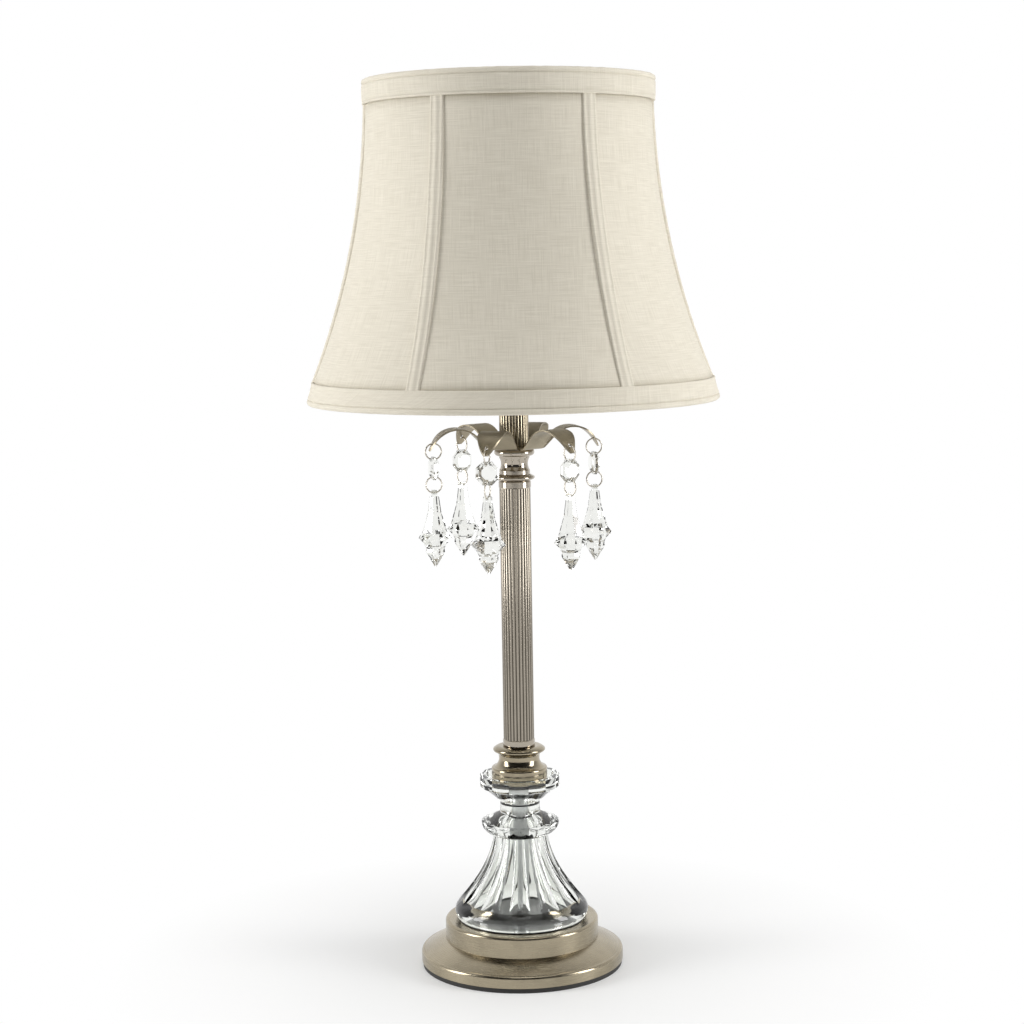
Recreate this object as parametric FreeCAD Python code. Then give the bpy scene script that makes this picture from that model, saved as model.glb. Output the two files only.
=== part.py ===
"""Candlestick table lamp: stepped metal base, pressed-glass bell, reeded column, leaf spray with
hanging crystals and a six-panel fabric shade.

Millimetres. The lamp stands on z = 0 with its axis on Z, and it is seen from the -Y side.
An azimuth is counted about Z from that side towards +X. Each sub-part is written to parts/.
"""
import FreeCAD
import Part
import math
import os

from FreeCAD import Vector

# Clearances
THREAD_PLAY = 0.05           # between a thread and the bore that takes it
SLIP_PLAY = 0.25             # between pieces that slide past each other
SEAT_GAP = 0.2               # under a piece that is lifted off its seat

# Base: pad, spun shell, cast weight
PAD_RADIUS = 62.4
PAD_THICKNESS = 3.0
BASE_RADIUS = 63.1
RIM_HEIGHT = 5.4             # upright edge of the shell
RIM_ROUNDING = 1.9
FLANGE_HEIGHT = 13.6         # from the pad to the foot of the riser
RISER_RADIUS = 47.8
RISER_HEIGHT = 12.9
RISER_ROUNDING = 1.8
SHELL_WALL = 1.2
WEIGHT_RADIUS = 51.0
WEIGHT_THICKNESS = 9.4
WEIGHT_BOSS_RADIUS = 15.0
NUT_POCKET_RADIUS = 12.5
NUT_POCKET_DEPTH = 7.5

# Cord inlet in the back of the riser
INLET_BORE_RADIUS = 3.0
INLET_BARREL_RADIUS = 4.3
INLET_FLANGE_RADIUS = 5.2
INLET_FLANGE_THICKNESS = 1.2
INLET_BARREL_LENGTH = 4.5
INLET_AZIMUTH = 180.0

# Hollow threaded rod that clamps the whole stem, with its nuts
ROD_RADIUS = 5.0
ROD_BORE_RADIUS = 3.4
ROD_STICKOUT = 1.2           # below the base nut
ROD_HOLDER_REACH = 7.0       # into the lampholder's cap
NUT_ACROSS_FLATS = 14.0
NUT_THICKNESS = 4.5
WASHER_RADIUS = 10.5
WASHER_THICKNESS = 1.2

# Pressed glass
GASKET_THICKNESS = 0.8
GLASS_BORE_RADIUS = 6.2
FOOT_RADIUS = 41.6
FOOT_HEIGHT = 8.7
SHOULDER_RADIUS = 39.8       # where the flared body leaves the foot
BODY_HEIGHT = 43.5
WAIST_RADIUS = 17.2
FLARE_POWER = 1.7
GLASS_WALL = 6.2
FLUTE_COUNT = 12
FLUTE_SHARE = 0.66           # of the pitch
FLUTE_DEPTH = 0.085          # of the radius
FLUTE_RUNOUT = 4.5           # height over which a flute fades into the foot
FLUTE_AZIMUTH = -2.0
COLLAR_RADIUS = 24.1
COLLAR_HEIGHT = 14.1
COLLAR_CREST_HEIGHT = 8.3    # of its widest line above its underside
NECK_RADIUS = 12.4
NECK_HEIGHT = 5.4
SCALLOP_DEPTH = 1.3
DISH_RADIUS = 24.7
DISH_HEIGHT = 18.2
DISH_STEM_HEIGHT = 1.4
DISH_RIM_HEIGHT = 7.0
DISH_RIM_WALL = 3.2
DISH_RECESS = 5.3

# Turned coupling between the glass and the column
COUPLING_RADIUS = 17.3
COUPLING_HEIGHT = 22.9
COUPLING_SKIRT_HEIGHT = 9.6
COUPLING_GROOVE_HEIGHT = 3.3
COUPLING_GROOVE_DEPTH = 0.5
COUPLING_WAIST_RADIUS = 12.7
COUPLING_LIP_RADIUS = 16.2

# Reeded column
COLUMN_RADIUS = 9.55
COLUMN_LENGTH = 156.7
COLUMN_BORE_RADIUS = 8.0
REED_COUNT = 28
REED_DEPTH = 0.42
END_RING_RADIUS = 9.95
END_RING_HEIGHT = 4.3

# Turned capital
CAPITAL_HEIGHT = 20.0
CAPITAL_RING_RADIUS = 12.4
CAPITAL_RING_HEIGHT = 4.4
CAPITAL_WAIST_RADIUS = 8.3
CAPITAL_SHOULDER_RADIUS = 9.5

# Spray of bent sheet leaves
LEAF_AZIMUTHS = (-79.0, -139.0, -19.0, 41.0, 101.0, 161.0)
DROP_AZIMUTHS = LEAF_AZIMUTHS[:5]
LEAF_WIDTH = 16.0
LEAF_THICKNESS = 0.9
LEAF_REACH = 52.4            # of the tip from the axis
LEAF_TAPER = 9.5             # length in plan over which a leaf comes to its point
LEAF_TIP_ROUNDING = 1.1
LEAF_RISE = 46.0             # degrees
LEAF_FALL = 60.0             # degrees
LEAF_BEND_RADIUS = 4.0
LEAF_CREST_RADIUS = 16.0
LEAF_TIP_DROP = 0.3          # of the tip below the hub's underside
HUB_RADIUS = 17.0
HANG_RADIUS = 50.2           # of the holes and the drops from the axis
LEAF_HOLE_RADIUS = 1.25

# Crystal drops: link, octagon bead, link, pendant
LINK_RADIUS = 4.9
LINK_WIRE_RADIUS = 0.45
BEAD_WIDTH = 14.0
BEAD_THICKNESS = 6.0
BEAD_EDGE_THICKNESS = 1.6
BEAD_TABLE_WIDTH = 7.6
BEAD_HOLE_RADIUS = 0.95
HOLE_INSET = 1.75            # from the edge of a crystal to its hole's axis
LUG_WIDTH = 5.4
LUG_THICKNESS = 3.0
LUG_HEIGHT = 4.0
PENDANT_LENGTH = 47.0
PENDANT_GIRDLE_WIDTH = 19.6

# Neck above the spray, and the lampholder
SLEEVE_RADIUS = 9.0
SLEEVE_WALL = 1.0
SLEEVE_HEIGHT = 33.0
SLEEVE_REED_COUNT = 24
HOLDER_CAP_RADIUS = 18.6
HOLDER_CAP_HEIGHT = 22.0
HOLDER_CAP_WALL = 1.0
HOLDER_RADIUS = 19.4
HOLDER_WALL = 2.6
HOLDER_HEIGHT = 32.0
HOLDER_FLOOR = 3.0
CORE_HEIGHT = 9.0
SCREW_SHELL_RADIUS = 14.4
SCREW_SHELL_WALL = 0.5
TERMINAL_SPACING = 16.0
TERMINAL_RADIUS = 1.8
TERMINAL_HEIGHT = 2.4
SEAT_RING_WIDTH = 7.6        # from the holder's skirt to its edge
SEAT_RING_THICKNESS = 4.0
SEAT_RING_HEIGHT = 9.0       # of its underside above the foot of the holder's skirt
CLAMP_RING_HEIGHT = 8.0
CLAMP_RING_GRIPS = 16
KEY_AZIMUTH = 90.0
KEY_SHAFT_RADIUS = 1.9
KEY_SHAFT_LENGTH = 13.0
KEY_SHAFT_INSET = 5.0        # of its inner end from the cap's outside
KEY_GRIP_LENGTH = 11.0
KEY_GRIP_WIDTH = 12.0
KEY_GRIP_THICKNESS = 3.6

# Candle bulb
BULB_CAP_RADIUS = 13.2
BULB_CAP_HEIGHT = 23.0
BULB_RADIUS = 17.5
BULB_LENGTH = 100.0
BULB_NECK_RADIUS = 11.6
BULB_CONTACT_RADIUS = 4.5
BULB_CONTACT_HEIGHT = 3.0

# Shade
SHADE_BOTTOM = 353.0         # above the surface that the lamp stands on
SHADE_HEIGHT = 194.0
SHADE_TOP_RADIUS = 86.2      # of the fabric under the top band
SHADE_BOTTOM_RADIUS = 121.2  # of the fabric above the bottom band
SHADE_BOW = 7.6              # of the fabric's outline, inwards from the straight line
FABRIC_THICKNESS = 0.9
LINING_THICKNESS = 0.5
PANEL_COUNT = 6
PANEL_FLATNESS = 0.045       # share of the radius lost mid-panel, half way up
PANEL_JOIN = 0.1             # between a panel and its neighbours, under the seam
SEAM_AZIMUTH = 2.0           # of the panel that faces the viewer
SEAM_WIDTH = 8.0
SEAM_THICKNESS = 0.8
TOP_BAND_HEIGHT = 14.6
BOTTOM_BAND_HEIGHT = 13.5
BAND_WALL = 1.6
BAND_STEP = 1.7              # of a band outside the fabric
BAND_FLARE = 3.0             # by which the bottom band widens downwards
FRAME_RING_WIRE_RADIUS = 1.5
RIB_WIRE_RADIUS = 1.1
FITTER_THICKNESS = 1.5
FITTER_PLAY = 4.0            # round the lampholder's skirt
FITTER_OVERHANG = 3.0        # past the seat ring, to where the arms are welded on
FITTER_ARM_RADIUS = 1.4
FITTER_ARM_AZIMUTHS = (60.0, 180.0, 300.0)

# Sizes worked out from the pieces above
SEAT_RING_RADIUS = HOLDER_RADIUS + SEAT_RING_WIDTH
SHELL_FOOT = PAD_THICKNESS
RISER_FOOT = SHELL_FOOT + FLANGE_HEIGHT
SHELL_TOP = RISER_FOOT + RISER_HEIGHT
BELL_FOOT = SHELL_TOP + GASKET_THICKNESS
BODY_FOOT = BELL_FOOT + FOOT_HEIGHT
COLLAR_FOOT = BODY_FOOT + BODY_HEIGHT
COLLAR_TOP = COLLAR_FOOT + COLLAR_HEIGHT
DISH_FOOT = COLLAR_TOP + NECK_HEIGHT
DISH_TOP = DISH_FOOT + DISH_HEIGHT
DISH_FLOOR = DISH_TOP - DISH_RECESS
COUPLING_FOOT = DISH_FLOOR + GASKET_THICKNESS
COUPLING_TOP = COUPLING_FOOT + COUPLING_HEIGHT
COLUMN_FOOT = COUPLING_TOP + END_RING_HEIGHT
COLUMN_TOP = COLUMN_FOOT + COLUMN_LENGTH
CAPITAL_FOOT = COLUMN_TOP + END_RING_HEIGHT
HUB_FOOT = CAPITAL_FOOT + CAPITAL_HEIGHT
HUB_TOP = HUB_FOOT + LEAF_THICKNESS
SLEEVE_TOP = HUB_TOP + SLEEVE_HEIGHT
SKIRT_FOOT = SLEEVE_TOP + HOLDER_CAP_HEIGHT
SEAT_RING_FOOT = SKIRT_FOOT + SEAT_RING_HEIGHT
FITTER_FOOT = SEAT_RING_FOOT + SEAT_RING_THICKNESS + SEAT_GAP
CLAMP_RING_FOOT = FITTER_FOOT + FITTER_THICKNESS + SEAT_GAP
POCKET_TOP = SHELL_FOOT + NUT_POCKET_DEPTH
BASE_NUT_FOOT = POCKET_TOP - WASHER_THICKNESS - NUT_THICKNESS
ROD_FOOT = BASE_NUT_FOOT - ROD_STICKOUT
ROD_TOP = SLEEVE_TOP + ROD_HOLDER_REACH
CORE_FOOT = SKIRT_FOOT + HOLDER_FLOOR
CORE_TOP = CORE_FOOT + CORE_HEIGHT
CONTACT_TOP = CORE_TOP + 1.6
BULB_FOOT = CONTACT_TOP + SEAT_GAP
SHADE_TOP = SHADE_BOTTOM + SHADE_HEIGHT
FABRIC_FOOT = SHADE_BOTTOM + BOTTOM_BAND_HEIGHT
FABRIC_TOP = SHADE_TOP - TOP_BAND_HEIGHT
HUNG_TILT = math.radians(LEAF_FALL)

UP = Vector(0, 0, 1)
ORIGIN = Vector(0, 0, 0)


def at(radius, height):
    """Point of an outline that is drawn in the XZ plane."""
    return Vector(radius, 0, height)


def outline(start, *steps):
    """Closed outline. A step is the end of a straight run, or (point on an arc, its end)."""
    edges = []
    here = start
    for step in steps + (start,):
        if isinstance(step, tuple):
            via, end = step
            edges.append(Part.Arc(here, via, end).toShape())
        else:
            end = step
            edges.append(Part.makeLine(here, end))
        here = end
    return Part.Wire(edges)


def turned(start, *steps):
    """Solid of revolution about Z of an outline in the XZ plane."""
    return Part.Face(outline(start, *steps)).revolve(ORIGIN, UP, 360)


def tube(outer, inner, foot, height):
    """Plain ring or sleeve about Z."""
    return turned(at(inner, foot), at(outer, foot), at(outer, foot + height), at(inner, foot + height))


def to_azimuth(shape, azimuth):
    """A copy of a piece drawn towards +X, turned to an azimuth."""
    copy = shape.copy()
    copy.rotate(ORIGIN, UP, azimuth - 90)
    return copy


def fused(shapes):
    """One solid from pieces that overlap or share faces."""
    first = shapes[0]
    return first.fuse(list(shapes[1:])).removeSplitter()


def polar(radius, degrees, height):
    """Point on a circle about Z."""
    angle = math.radians(degrees)
    return Vector(radius * math.cos(angle), radius * math.sin(angle), height)


def lobed_wire(valley, crest, count, height, lobe_share=1.0):
    """Closed section of `count` lobes, each an arc that bows from the valley radius to the crest.

    Where the lobes take less than the whole pitch, plain arcs at the valley radius part them.
    """
    pitch = 360.0 / count
    lobe = pitch * lobe_share
    edges = []
    for index in range(count):
        begin = index * pitch - lobe / 2
        end = begin + lobe
        middle = (begin + end) / 2
        points = [polar(valley, begin, height), polar(crest, middle, height), polar(valley, end, height)]
        edges.append(Part.Arc(*points).toShape())
        if lobe_share < 1.0:
            follow = begin + pitch
            halfway = polar(valley, (end + follow) / 2, height)
            edges.append(Part.Arc(points[2], halfway, polar(valley, follow, height)).toShape())
    return Part.Wire(edges)


def lobed_prism(valley, crest, count, foot, height):
    """Upright prism with a lobed outline."""
    return Part.Face(lobed_wire(valley, crest, count, foot)).extrude(Vector(0, 0, height))


def rounded_path(points, radii):
    """Open wire of straight runs, with an arc at each inner point."""
    edges = []
    here = points[0]
    for before, corner, after, radius in zip(points, points[1:], points[2:], radii):
        back = (before - corner).normalize()
        ahead = (after - corner).normalize()
        half_angle = back.getAngle(ahead) / 2
        reach = radius / math.tan(half_angle)
        middle = (back + ahead).normalize()
        start = corner + back * reach
        via = corner + middle * (radius / math.sin(half_angle) - radius)
        end = corner + ahead * reach
        edges.append(Part.makeLine(here, start))
        edges.append(Part.Arc(start, via, end).toShape())
        here = end
    edges.append(Part.makeLine(here, points[-1]))
    return Part.Wire(edges)


def hexagonal_nut(across_flats, bore, foot, thickness):
    """Nut with its corners chamfered by a turned outline."""
    corner = across_flats / 2 / math.cos(math.radians(30))
    points = [polar(corner, 60 * index, foot) for index in range(7)]
    prism = Part.Face(Part.makePolygon(points)).extrude(Vector(0, 0, thickness))
    flat = across_flats / 2
    fall = (corner - flat) * math.tan(math.radians(30))
    top = foot + thickness
    blank = turned(at(bore, foot), at(flat, foot), at(corner, foot + fall), at(corner, top - fall),
                   at(flat, top), at(bore, top))
    return prism.common(blank)


# Base

def base_pad():
    """Non-slip pad under the whole base, open over the nut."""
    return tube(PAD_RADIUS, NUT_POCKET_RADIUS, 0, PAD_THICKNESS)


def shell_outline(inset):
    """Outline of the shell's outer face, moved in by `inset`, closed on the axis side."""
    rim = BASE_RADIUS - inset
    riser = RISER_RADIUS - inset
    rim_top = SHELL_FOOT + RIM_HEIGHT - inset * 0.3
    edge_turn = RIM_ROUNDING * math.cos(math.radians(45))
    slope_foot = at(rim - RIM_ROUNDING, rim_top + RIM_ROUNDING)
    slope_top = at(riser + inset, RISER_FOOT - inset)
    bow = at(slope_foot.x * 0.5 + slope_top.x * 0.5, slope_foot.z * 0.42 + slope_top.z * 0.58)
    top = SHELL_TOP - inset
    top_turn = RISER_ROUNDING * math.cos(math.radians(45))
    turn_centre = at(riser - RISER_ROUNDING, top - RISER_ROUNDING)
    return [at(rim, SHELL_FOOT), at(rim, rim_top),
            (at(rim - RIM_ROUNDING + edge_turn, rim_top + edge_turn), slope_foot),
            (bow, slope_top),
            at(riser, RISER_FOOT - inset),
            at(riser, turn_centre.z),
            (at(turn_centre.x + top_turn, turn_centre.z + top_turn), at(turn_centre.x, top)),
            at(0, top)]


def base_shell():
    """Spun sheet shell: upright rim, bowed flange, riser and top, drilled for rod and cord."""
    outer = turned(at(0, SHELL_FOOT), *distinct(shell_outline(0)))
    inner = turned(at(0, SHELL_FOOT), *distinct(shell_outline(SHELL_WALL)))
    rod_hole = Part.makeCylinder(ROD_RADIUS + THREAD_PLAY, SHELL_TOP)
    return outer.cut(fused([inner, rod_hole])).cut(inlet_hole())


def distinct(steps):
    """The steps of an outline without any that has no length."""
    kept = []
    here = None
    for step in steps:
        end = step[1] if isinstance(step, tuple) else step
        if here is None or (end - here).Length > 1e-6:
            kept.append(step)
        here = end
    return kept


def base_weight():
    """Cast disc with a boss up to the shell's top and a pocket for the nut."""
    boss_top = SHELL_TOP - SHELL_WALL
    bore = ROD_RADIUS + THREAD_PLAY
    disc_top = SHELL_FOOT + WEIGHT_THICKNESS
    return turned(at(NUT_POCKET_RADIUS, SHELL_FOOT), at(WEIGHT_RADIUS, SHELL_FOOT),
                  at(WEIGHT_RADIUS, disc_top), at(WEIGHT_BOSS_RADIUS, disc_top),
                  at(WEIGHT_BOSS_RADIUS, boss_top), at(bore, boss_top), at(bore, POCKET_TOP),
                  at(NUT_POCKET_RADIUS, POCKET_TOP))


def base_washer():
    """Washer between the weight and its nut."""
    return tube(WASHER_RADIUS, ROD_RADIUS + THREAD_PLAY, POCKET_TOP - WASHER_THICKNESS, WASHER_THICKNESS)


def base_nut():
    """Nut that pulls the rod, and with it the whole stem, down on the weight."""
    return hexagonal_nut(NUT_ACROSS_FLATS, ROD_RADIUS + THREAD_PLAY, BASE_NUT_FOOT, NUT_THICKNESS)


def inlet_cylinder(radius, start, length):
    """Cylinder on the cord inlet's axis, which runs outwards half way up the riser."""
    height = RISER_FOOT + (RISER_HEIGHT - RISER_ROUNDING) / 2
    return Part.makeCylinder(radius, length, at(start, height), Vector(1, 0, 0))


def inlet_hole():
    """Hole in the riser's wall for the cord inlet."""
    hole = inlet_cylinder(INLET_BARREL_RADIUS, RISER_RADIUS / 2, RISER_RADIUS)
    return to_azimuth(hole, INLET_AZIMUTH)


def cord_inlet():
    """Plastic bush that lines the cord's hole, with a flange that fits the round riser."""
    start = RISER_RADIUS - INLET_BARREL_LENGTH
    length = INLET_BARREL_LENGTH + INLET_FLANGE_THICKNESS
    barrel = inlet_cylinder(INLET_BARREL_RADIUS, start, length)
    flange = inlet_cylinder(INLET_FLANGE_RADIUS, RISER_RADIUS - 1, INLET_FLANGE_THICKNESS + 1)
    wall = Part.makeCylinder(RISER_RADIUS, SHELL_TOP)
    bore = inlet_cylinder(INLET_BORE_RADIUS, start - 1, length + 2)
    bush = fused([barrel, flange.cut(wall)]).cut(bore)
    return to_azimuth(bush, INLET_AZIMUTH)


# Glass

def bell_gasket():
    """Clear washer between the base and the glass bell."""
    return tube(FOOT_RADIUS - 2, ROD_RADIUS + THREAD_PLAY, SHELL_TOP, GASKET_THICKNESS)


def bell_radius(height):
    """Radius over the ribs of the flared body."""
    share = (COLLAR_FOOT - height) / BODY_HEIGHT
    return WAIST_RADIUS + (SHOULDER_RADIUS - WAIST_RADIUS) * share ** FLARE_POWER


def fluted_body():
    """Flared body with concave flutes that fade out just above the foot."""
    runs = 8
    heights = [BODY_FOOT, BODY_FOOT + FLUTE_RUNOUT / 2]
    heights += [BODY_FOOT + FLUTE_RUNOUT + (BODY_HEIGHT - FLUTE_RUNOUT) * step / runs
                for step in range(runs + 1)]
    sections = []
    for height in heights:
        radius = bell_radius(height)
        fade = min(1.0, (height - BODY_FOOT) / FLUTE_RUNOUT)
        depth = radius * FLUTE_DEPTH * fade
        sections.append(lobed_wire(radius, radius - depth, FLUTE_COUNT, height, FLUTE_SHARE))
    return Part.makeLoft(sections, True, False)


def glass_bell():
    """Hollow pressed-glass bell: round foot, fluted body, scalloped collar and plain neck."""
    foot_bulge = at(FOOT_RADIUS, BELL_FOOT + FOOT_HEIGHT * 0.4)
    foot = turned(at(0, BELL_FOOT), at(FOOT_RADIUS - 1.5, BELL_FOOT),
                  (foot_bulge, at(SHOULDER_RADIUS, BODY_FOOT)), at(0, BODY_FOOT))
    crest = COLLAR_FOOT + COLLAR_CREST_HEIGHT
    collar = turned(at(0, COLLAR_FOOT), at(WAIST_RADIUS, COLLAR_FOOT),
                    (at(WAIST_RADIUS + 5.4, crest - 4.8), at(COLLAR_RADIUS, crest - 1)),
                    at(COLLAR_RADIUS, crest + 0.6),
                    (at(NECK_RADIUS + 6.2, COLLAR_TOP - 2.6), at(NECK_RADIUS, COLLAR_TOP)),
                    at(0, COLLAR_TOP))
    scallops = lobed_prism(COLLAR_RADIUS - SCALLOP_DEPTH, COLLAR_RADIUS, FLUTE_COUNT, COLLAR_FOOT,
                           COLLAR_HEIGHT)
    neck = Part.makeCylinder(NECK_RADIUS, NECK_HEIGHT, at(0, COLLAR_TOP))
    middle = BODY_FOOT + BODY_HEIGHT * 0.45
    inner_foot = SHOULDER_RADIUS - GLASS_WALL
    inner_waist = WAIST_RADIUS - GLASS_WALL
    hollow = turned(at(0, BELL_FOOT), at(inner_foot, BELL_FOOT), at(inner_foot, BODY_FOOT),
                    (at(bell_radius(middle) - GLASS_WALL, middle), at(inner_waist, COLLAR_FOOT)),
                    at(GLASS_BORE_RADIUS, COLLAR_FOOT + GLASS_WALL), at(GLASS_BORE_RADIUS, DISH_FOOT),
                    at(0, DISH_FOOT))
    bell = fused([foot, fluted_body(), collar.common(scallops), neck]).cut(hollow)
    return to_azimuth(bell, FLUTE_AZIMUTH)


def glass_dish():
    """Scalloped glass dish whose recess takes the coupling."""
    rim_foot = DISH_TOP - DISH_RIM_HEIGHT
    stem_top = DISH_FOOT + DISH_STEM_HEIGHT
    recess = DISH_RADIUS - DISH_RIM_WALL
    dish = turned(at(GLASS_BORE_RADIUS, DISH_FOOT), at(NECK_RADIUS, DISH_FOOT), at(NECK_RADIUS, stem_top),
                  (at(NECK_RADIUS + 4.6, stem_top + 4.4), at(DISH_RADIUS, rim_foot)),
                  at(DISH_RADIUS, DISH_TOP), at(recess, DISH_TOP),
                  at(recess - 1.5, DISH_FLOOR), at(GLASS_BORE_RADIUS, DISH_FLOOR))
    scallops = lobed_prism(DISH_RADIUS - SCALLOP_DEPTH, DISH_RADIUS, FLUTE_COUNT, DISH_FOOT, DISH_HEIGHT)
    return to_azimuth(dish.common(scallops), FLUTE_AZIMUTH)


def dish_gasket():
    """Clear washer between the dish and the coupling."""
    return tube(COUPLING_RADIUS - 1, ROD_RADIUS + THREAD_PLAY, DISH_FLOOR, GASKET_THICKNESS)


# Stem

def threaded_rod():
    """Hollow rod from the base nut to the lampholder, through every piece of the stem."""
    return tube(ROD_RADIUS, ROD_BORE_RADIUS, ROD_FOOT, ROD_TOP - ROD_FOOT)


def coupling():
    """Turned cup: grooved skirt, cove up to the waist and a rounded lip under the column."""
    bore = ROD_RADIUS + THREAD_PLAY
    skirt_top = COUPLING_FOOT + COUPLING_SKIRT_HEIGHT
    groove = COUPLING_FOOT + COUPLING_GROOVE_HEIGHT
    notch = COUPLING_RADIUS - COUPLING_GROOVE_DEPTH
    waist = COUPLING_TOP - 7.0
    lip = COUPLING_TOP - 2.4
    return turned(at(bore, COUPLING_FOOT), at(COUPLING_RADIUS, COUPLING_FOOT),
                  at(COUPLING_RADIUS, groove - 0.5), at(notch, groove), at(COUPLING_RADIUS, groove + 0.5),
                  at(COUPLING_RADIUS, skirt_top - 1),
                  (at(COUPLING_RADIUS - 0.4, skirt_top - 0.2), at(COUPLING_RADIUS - 1.3, skirt_top)),
                  (at(COUPLING_WAIST_RADIUS + 0.9, skirt_top + 2.2), at(COUPLING_WAIST_RADIUS, waist)),
                  (at(COUPLING_WAIST_RADIUS + 1.1, waist + 2.7), at(COUPLING_LIP_RADIUS - 0.6, lip - 1)),
                  (at(COUPLING_LIP_RADIUS, lip), at(COUPLING_LIP_RADIUS - 0.7, lip + 1.1)),
                  (at(COUPLING_LIP_RADIUS - 1.9, lip + 1.9), at(END_RING_RADIUS + 1.5, COUPLING_TOP)),
                  at(bore, COUPLING_TOP))


def end_ring(foot):
    """Plain ring that closes an end of the column and centres it on the rod."""
    edge = 0.5
    bore = ROD_RADIUS + THREAD_PLAY
    top = foot + END_RING_HEIGHT
    return turned(at(bore, foot), at(END_RING_RADIUS - edge, foot), at(END_RING_RADIUS, foot + edge),
                  at(END_RING_RADIUS, top - edge), at(END_RING_RADIUS - edge, top), at(bore, top))


def column_tube():
    """Reeded tube."""
    reeds = lobed_prism(COLUMN_RADIUS - REED_DEPTH, COLUMN_RADIUS, REED_COUNT, COLUMN_FOOT, COLUMN_LENGTH)
    return reeds.cut(Part.makeCylinder(COLUMN_BORE_RADIUS, COLUMN_LENGTH, at(0, COLUMN_FOOT)))


def capital():
    """Turned capital: a ring, a waist and a second ring under the spray."""
    bore = ROD_RADIUS + THREAD_PLAY
    ring = CAPITAL_RING_RADIUS
    foot_radius = END_RING_RADIUS - 0.4
    low_top = CAPITAL_FOOT + CAPITAL_RING_HEIGHT
    high_foot = HUB_FOOT - CAPITAL_RING_HEIGHT
    waist = (low_top + 2.2 + high_foot - 1.4) / 2
    bead = CAPITAL_RING_HEIGHT / 2
    return turned(at(bore, CAPITAL_FOOT), at(foot_radius, CAPITAL_FOOT),
                  at(ring - 0.9, CAPITAL_FOOT + bead - 1.1),
                  (at(ring, CAPITAL_FOOT + bead), at(ring - 1.0, CAPITAL_FOOT + bead + 1.1)),
                  at(CAPITAL_SHOULDER_RADIUS, low_top), at(CAPITAL_SHOULDER_RADIUS, low_top + 2.2),
                  (at(CAPITAL_WAIST_RADIUS, waist), at(CAPITAL_SHOULDER_RADIUS - 0.2, high_foot - 1.4)),
                  at(CAPITAL_SHOULDER_RADIUS, high_foot),
                  (at(ring, HUB_FOOT - bead), at(ring - 1.0, HUB_FOOT - 0.4)),
                  at(ring - 1.6, HUB_FOOT), at(bore, HUB_FOOT))


# Spray and drops

def leaf_path():
    """Centre line of the underside of a leaf, from the axis to the tip, in the XZ plane."""
    rise = math.tan(math.radians(LEAF_RISE))
    fall = math.tan(math.radians(LEAF_FALL))
    bend = at(HUB_RADIUS, HUB_FOOT)
    tip = at(LEAF_REACH, HUB_FOOT - LEAF_TIP_DROP)
    apex_radius = (tip.z - bend.z + rise * bend.x + fall * tip.x) / (rise + fall)
    apex = at(apex_radius, bend.z + rise * (apex_radius - bend.x))
    return rounded_path([at(0, HUB_FOOT), bend, apex, tip], [LEAF_BEND_RADIUS, LEAF_CREST_RADIUS])


def hang_point():
    """Middle of the hole in a leaf's tip, where a drop hangs."""
    along = Vector(math.cos(HUNG_TILT), 0, -math.sin(HUNG_TILT))
    out = Vector(math.sin(HUNG_TILT), 0, math.cos(HUNG_TILT))
    underside = at(LEAF_REACH, HUB_FOOT - LEAF_TIP_DROP) + out * (LEAF_THICKNESS / 2)
    return underside - along * ((underside.x - HANG_RADIUS) / along.x)


def leaf():
    """Strip bent up from the hub and over to a pointed tip with a hole."""
    strip = leaf_path().makeOffset2D(LEAF_THICKNESS, fill=True, openResult=True)
    if strip.CenterOfMass.z < leaf_path().CenterOfMass.z:
        strip = leaf_path().makeOffset2D(-LEAF_THICKNESS, fill=True, openResult=True)
    half = LEAF_WIDTH / 2
    strip.translate(Vector(0, -half, 0))
    blank = strip.extrude(Vector(0, LEAF_WIDTH, 0))
    reach = LEAF_REACH + LEAF_THICKNESS
    taper = reach - LEAF_TAPER
    bow = at(reach - LEAF_TAPER * 0.38, 0)
    side = Vector(0, 1, 0)
    tip = LEAF_TIP_ROUNDING
    plan = outline(side * -half, at(taper, 0) - side * half,
                   (bow - side * (half * 0.62), at(reach - tip * 0.6, 0) - side * tip),
                   (at(reach, 0), at(reach - tip * 0.6, 0) + side * tip),
                   (bow + side * (half * 0.62), at(taper, 0) + side * half), side * half)
    leaf_prism = Part.Face(plan).extrude(UP * (HUB_FOOT * 2))
    axis = Vector(math.sin(HUNG_TILT), 0, math.cos(HUNG_TILT))
    hole = Part.makeCylinder(LEAF_HOLE_RADIUS, 4, hang_point() - axis * 2, axis)
    return blank.common(leaf_prism).cut(hole)


def leaf_spray():
    """Six leaves on one hub, clamped between the capital and its nut."""
    leaves = [to_azimuth(leaf(), azimuth) for azimuth in LEAF_AZIMUTHS]
    hub = Part.makeCylinder(HUB_RADIUS - LEAF_BEND_RADIUS, LEAF_THICKNESS, at(0, HUB_FOOT))
    bore = Part.makeCylinder(ROD_RADIUS + THREAD_PLAY, 4, at(0, HUB_FOOT - 2))
    return fused([hub] + leaves).cut(bore)


def link_centres():
    """Heights of the centres of a drop's two links."""
    upper = hang_point().z - LINK_RADIUS
    bead_height = BEAD_WIDTH - 2 * HOLE_INSET
    lower = upper - 2 * LINK_RADIUS - bead_height
    return upper, lower


def link(height):
    """Round wire link in the plane of the axis."""
    return Part.makeTorus(LINK_RADIUS, LINK_WIRE_RADIUS, at(hang_point().x, height), Vector(0, 1, 0))


def crystal_hole(radius, height):
    """Cylinder through a crystal, along the direction away from the axis."""
    start = at(hang_point().x - BEAD_WIDTH, height)
    return Part.makeCylinder(radius, 2 * BEAD_WIDTH, start, Vector(1, 0, 0))


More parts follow.
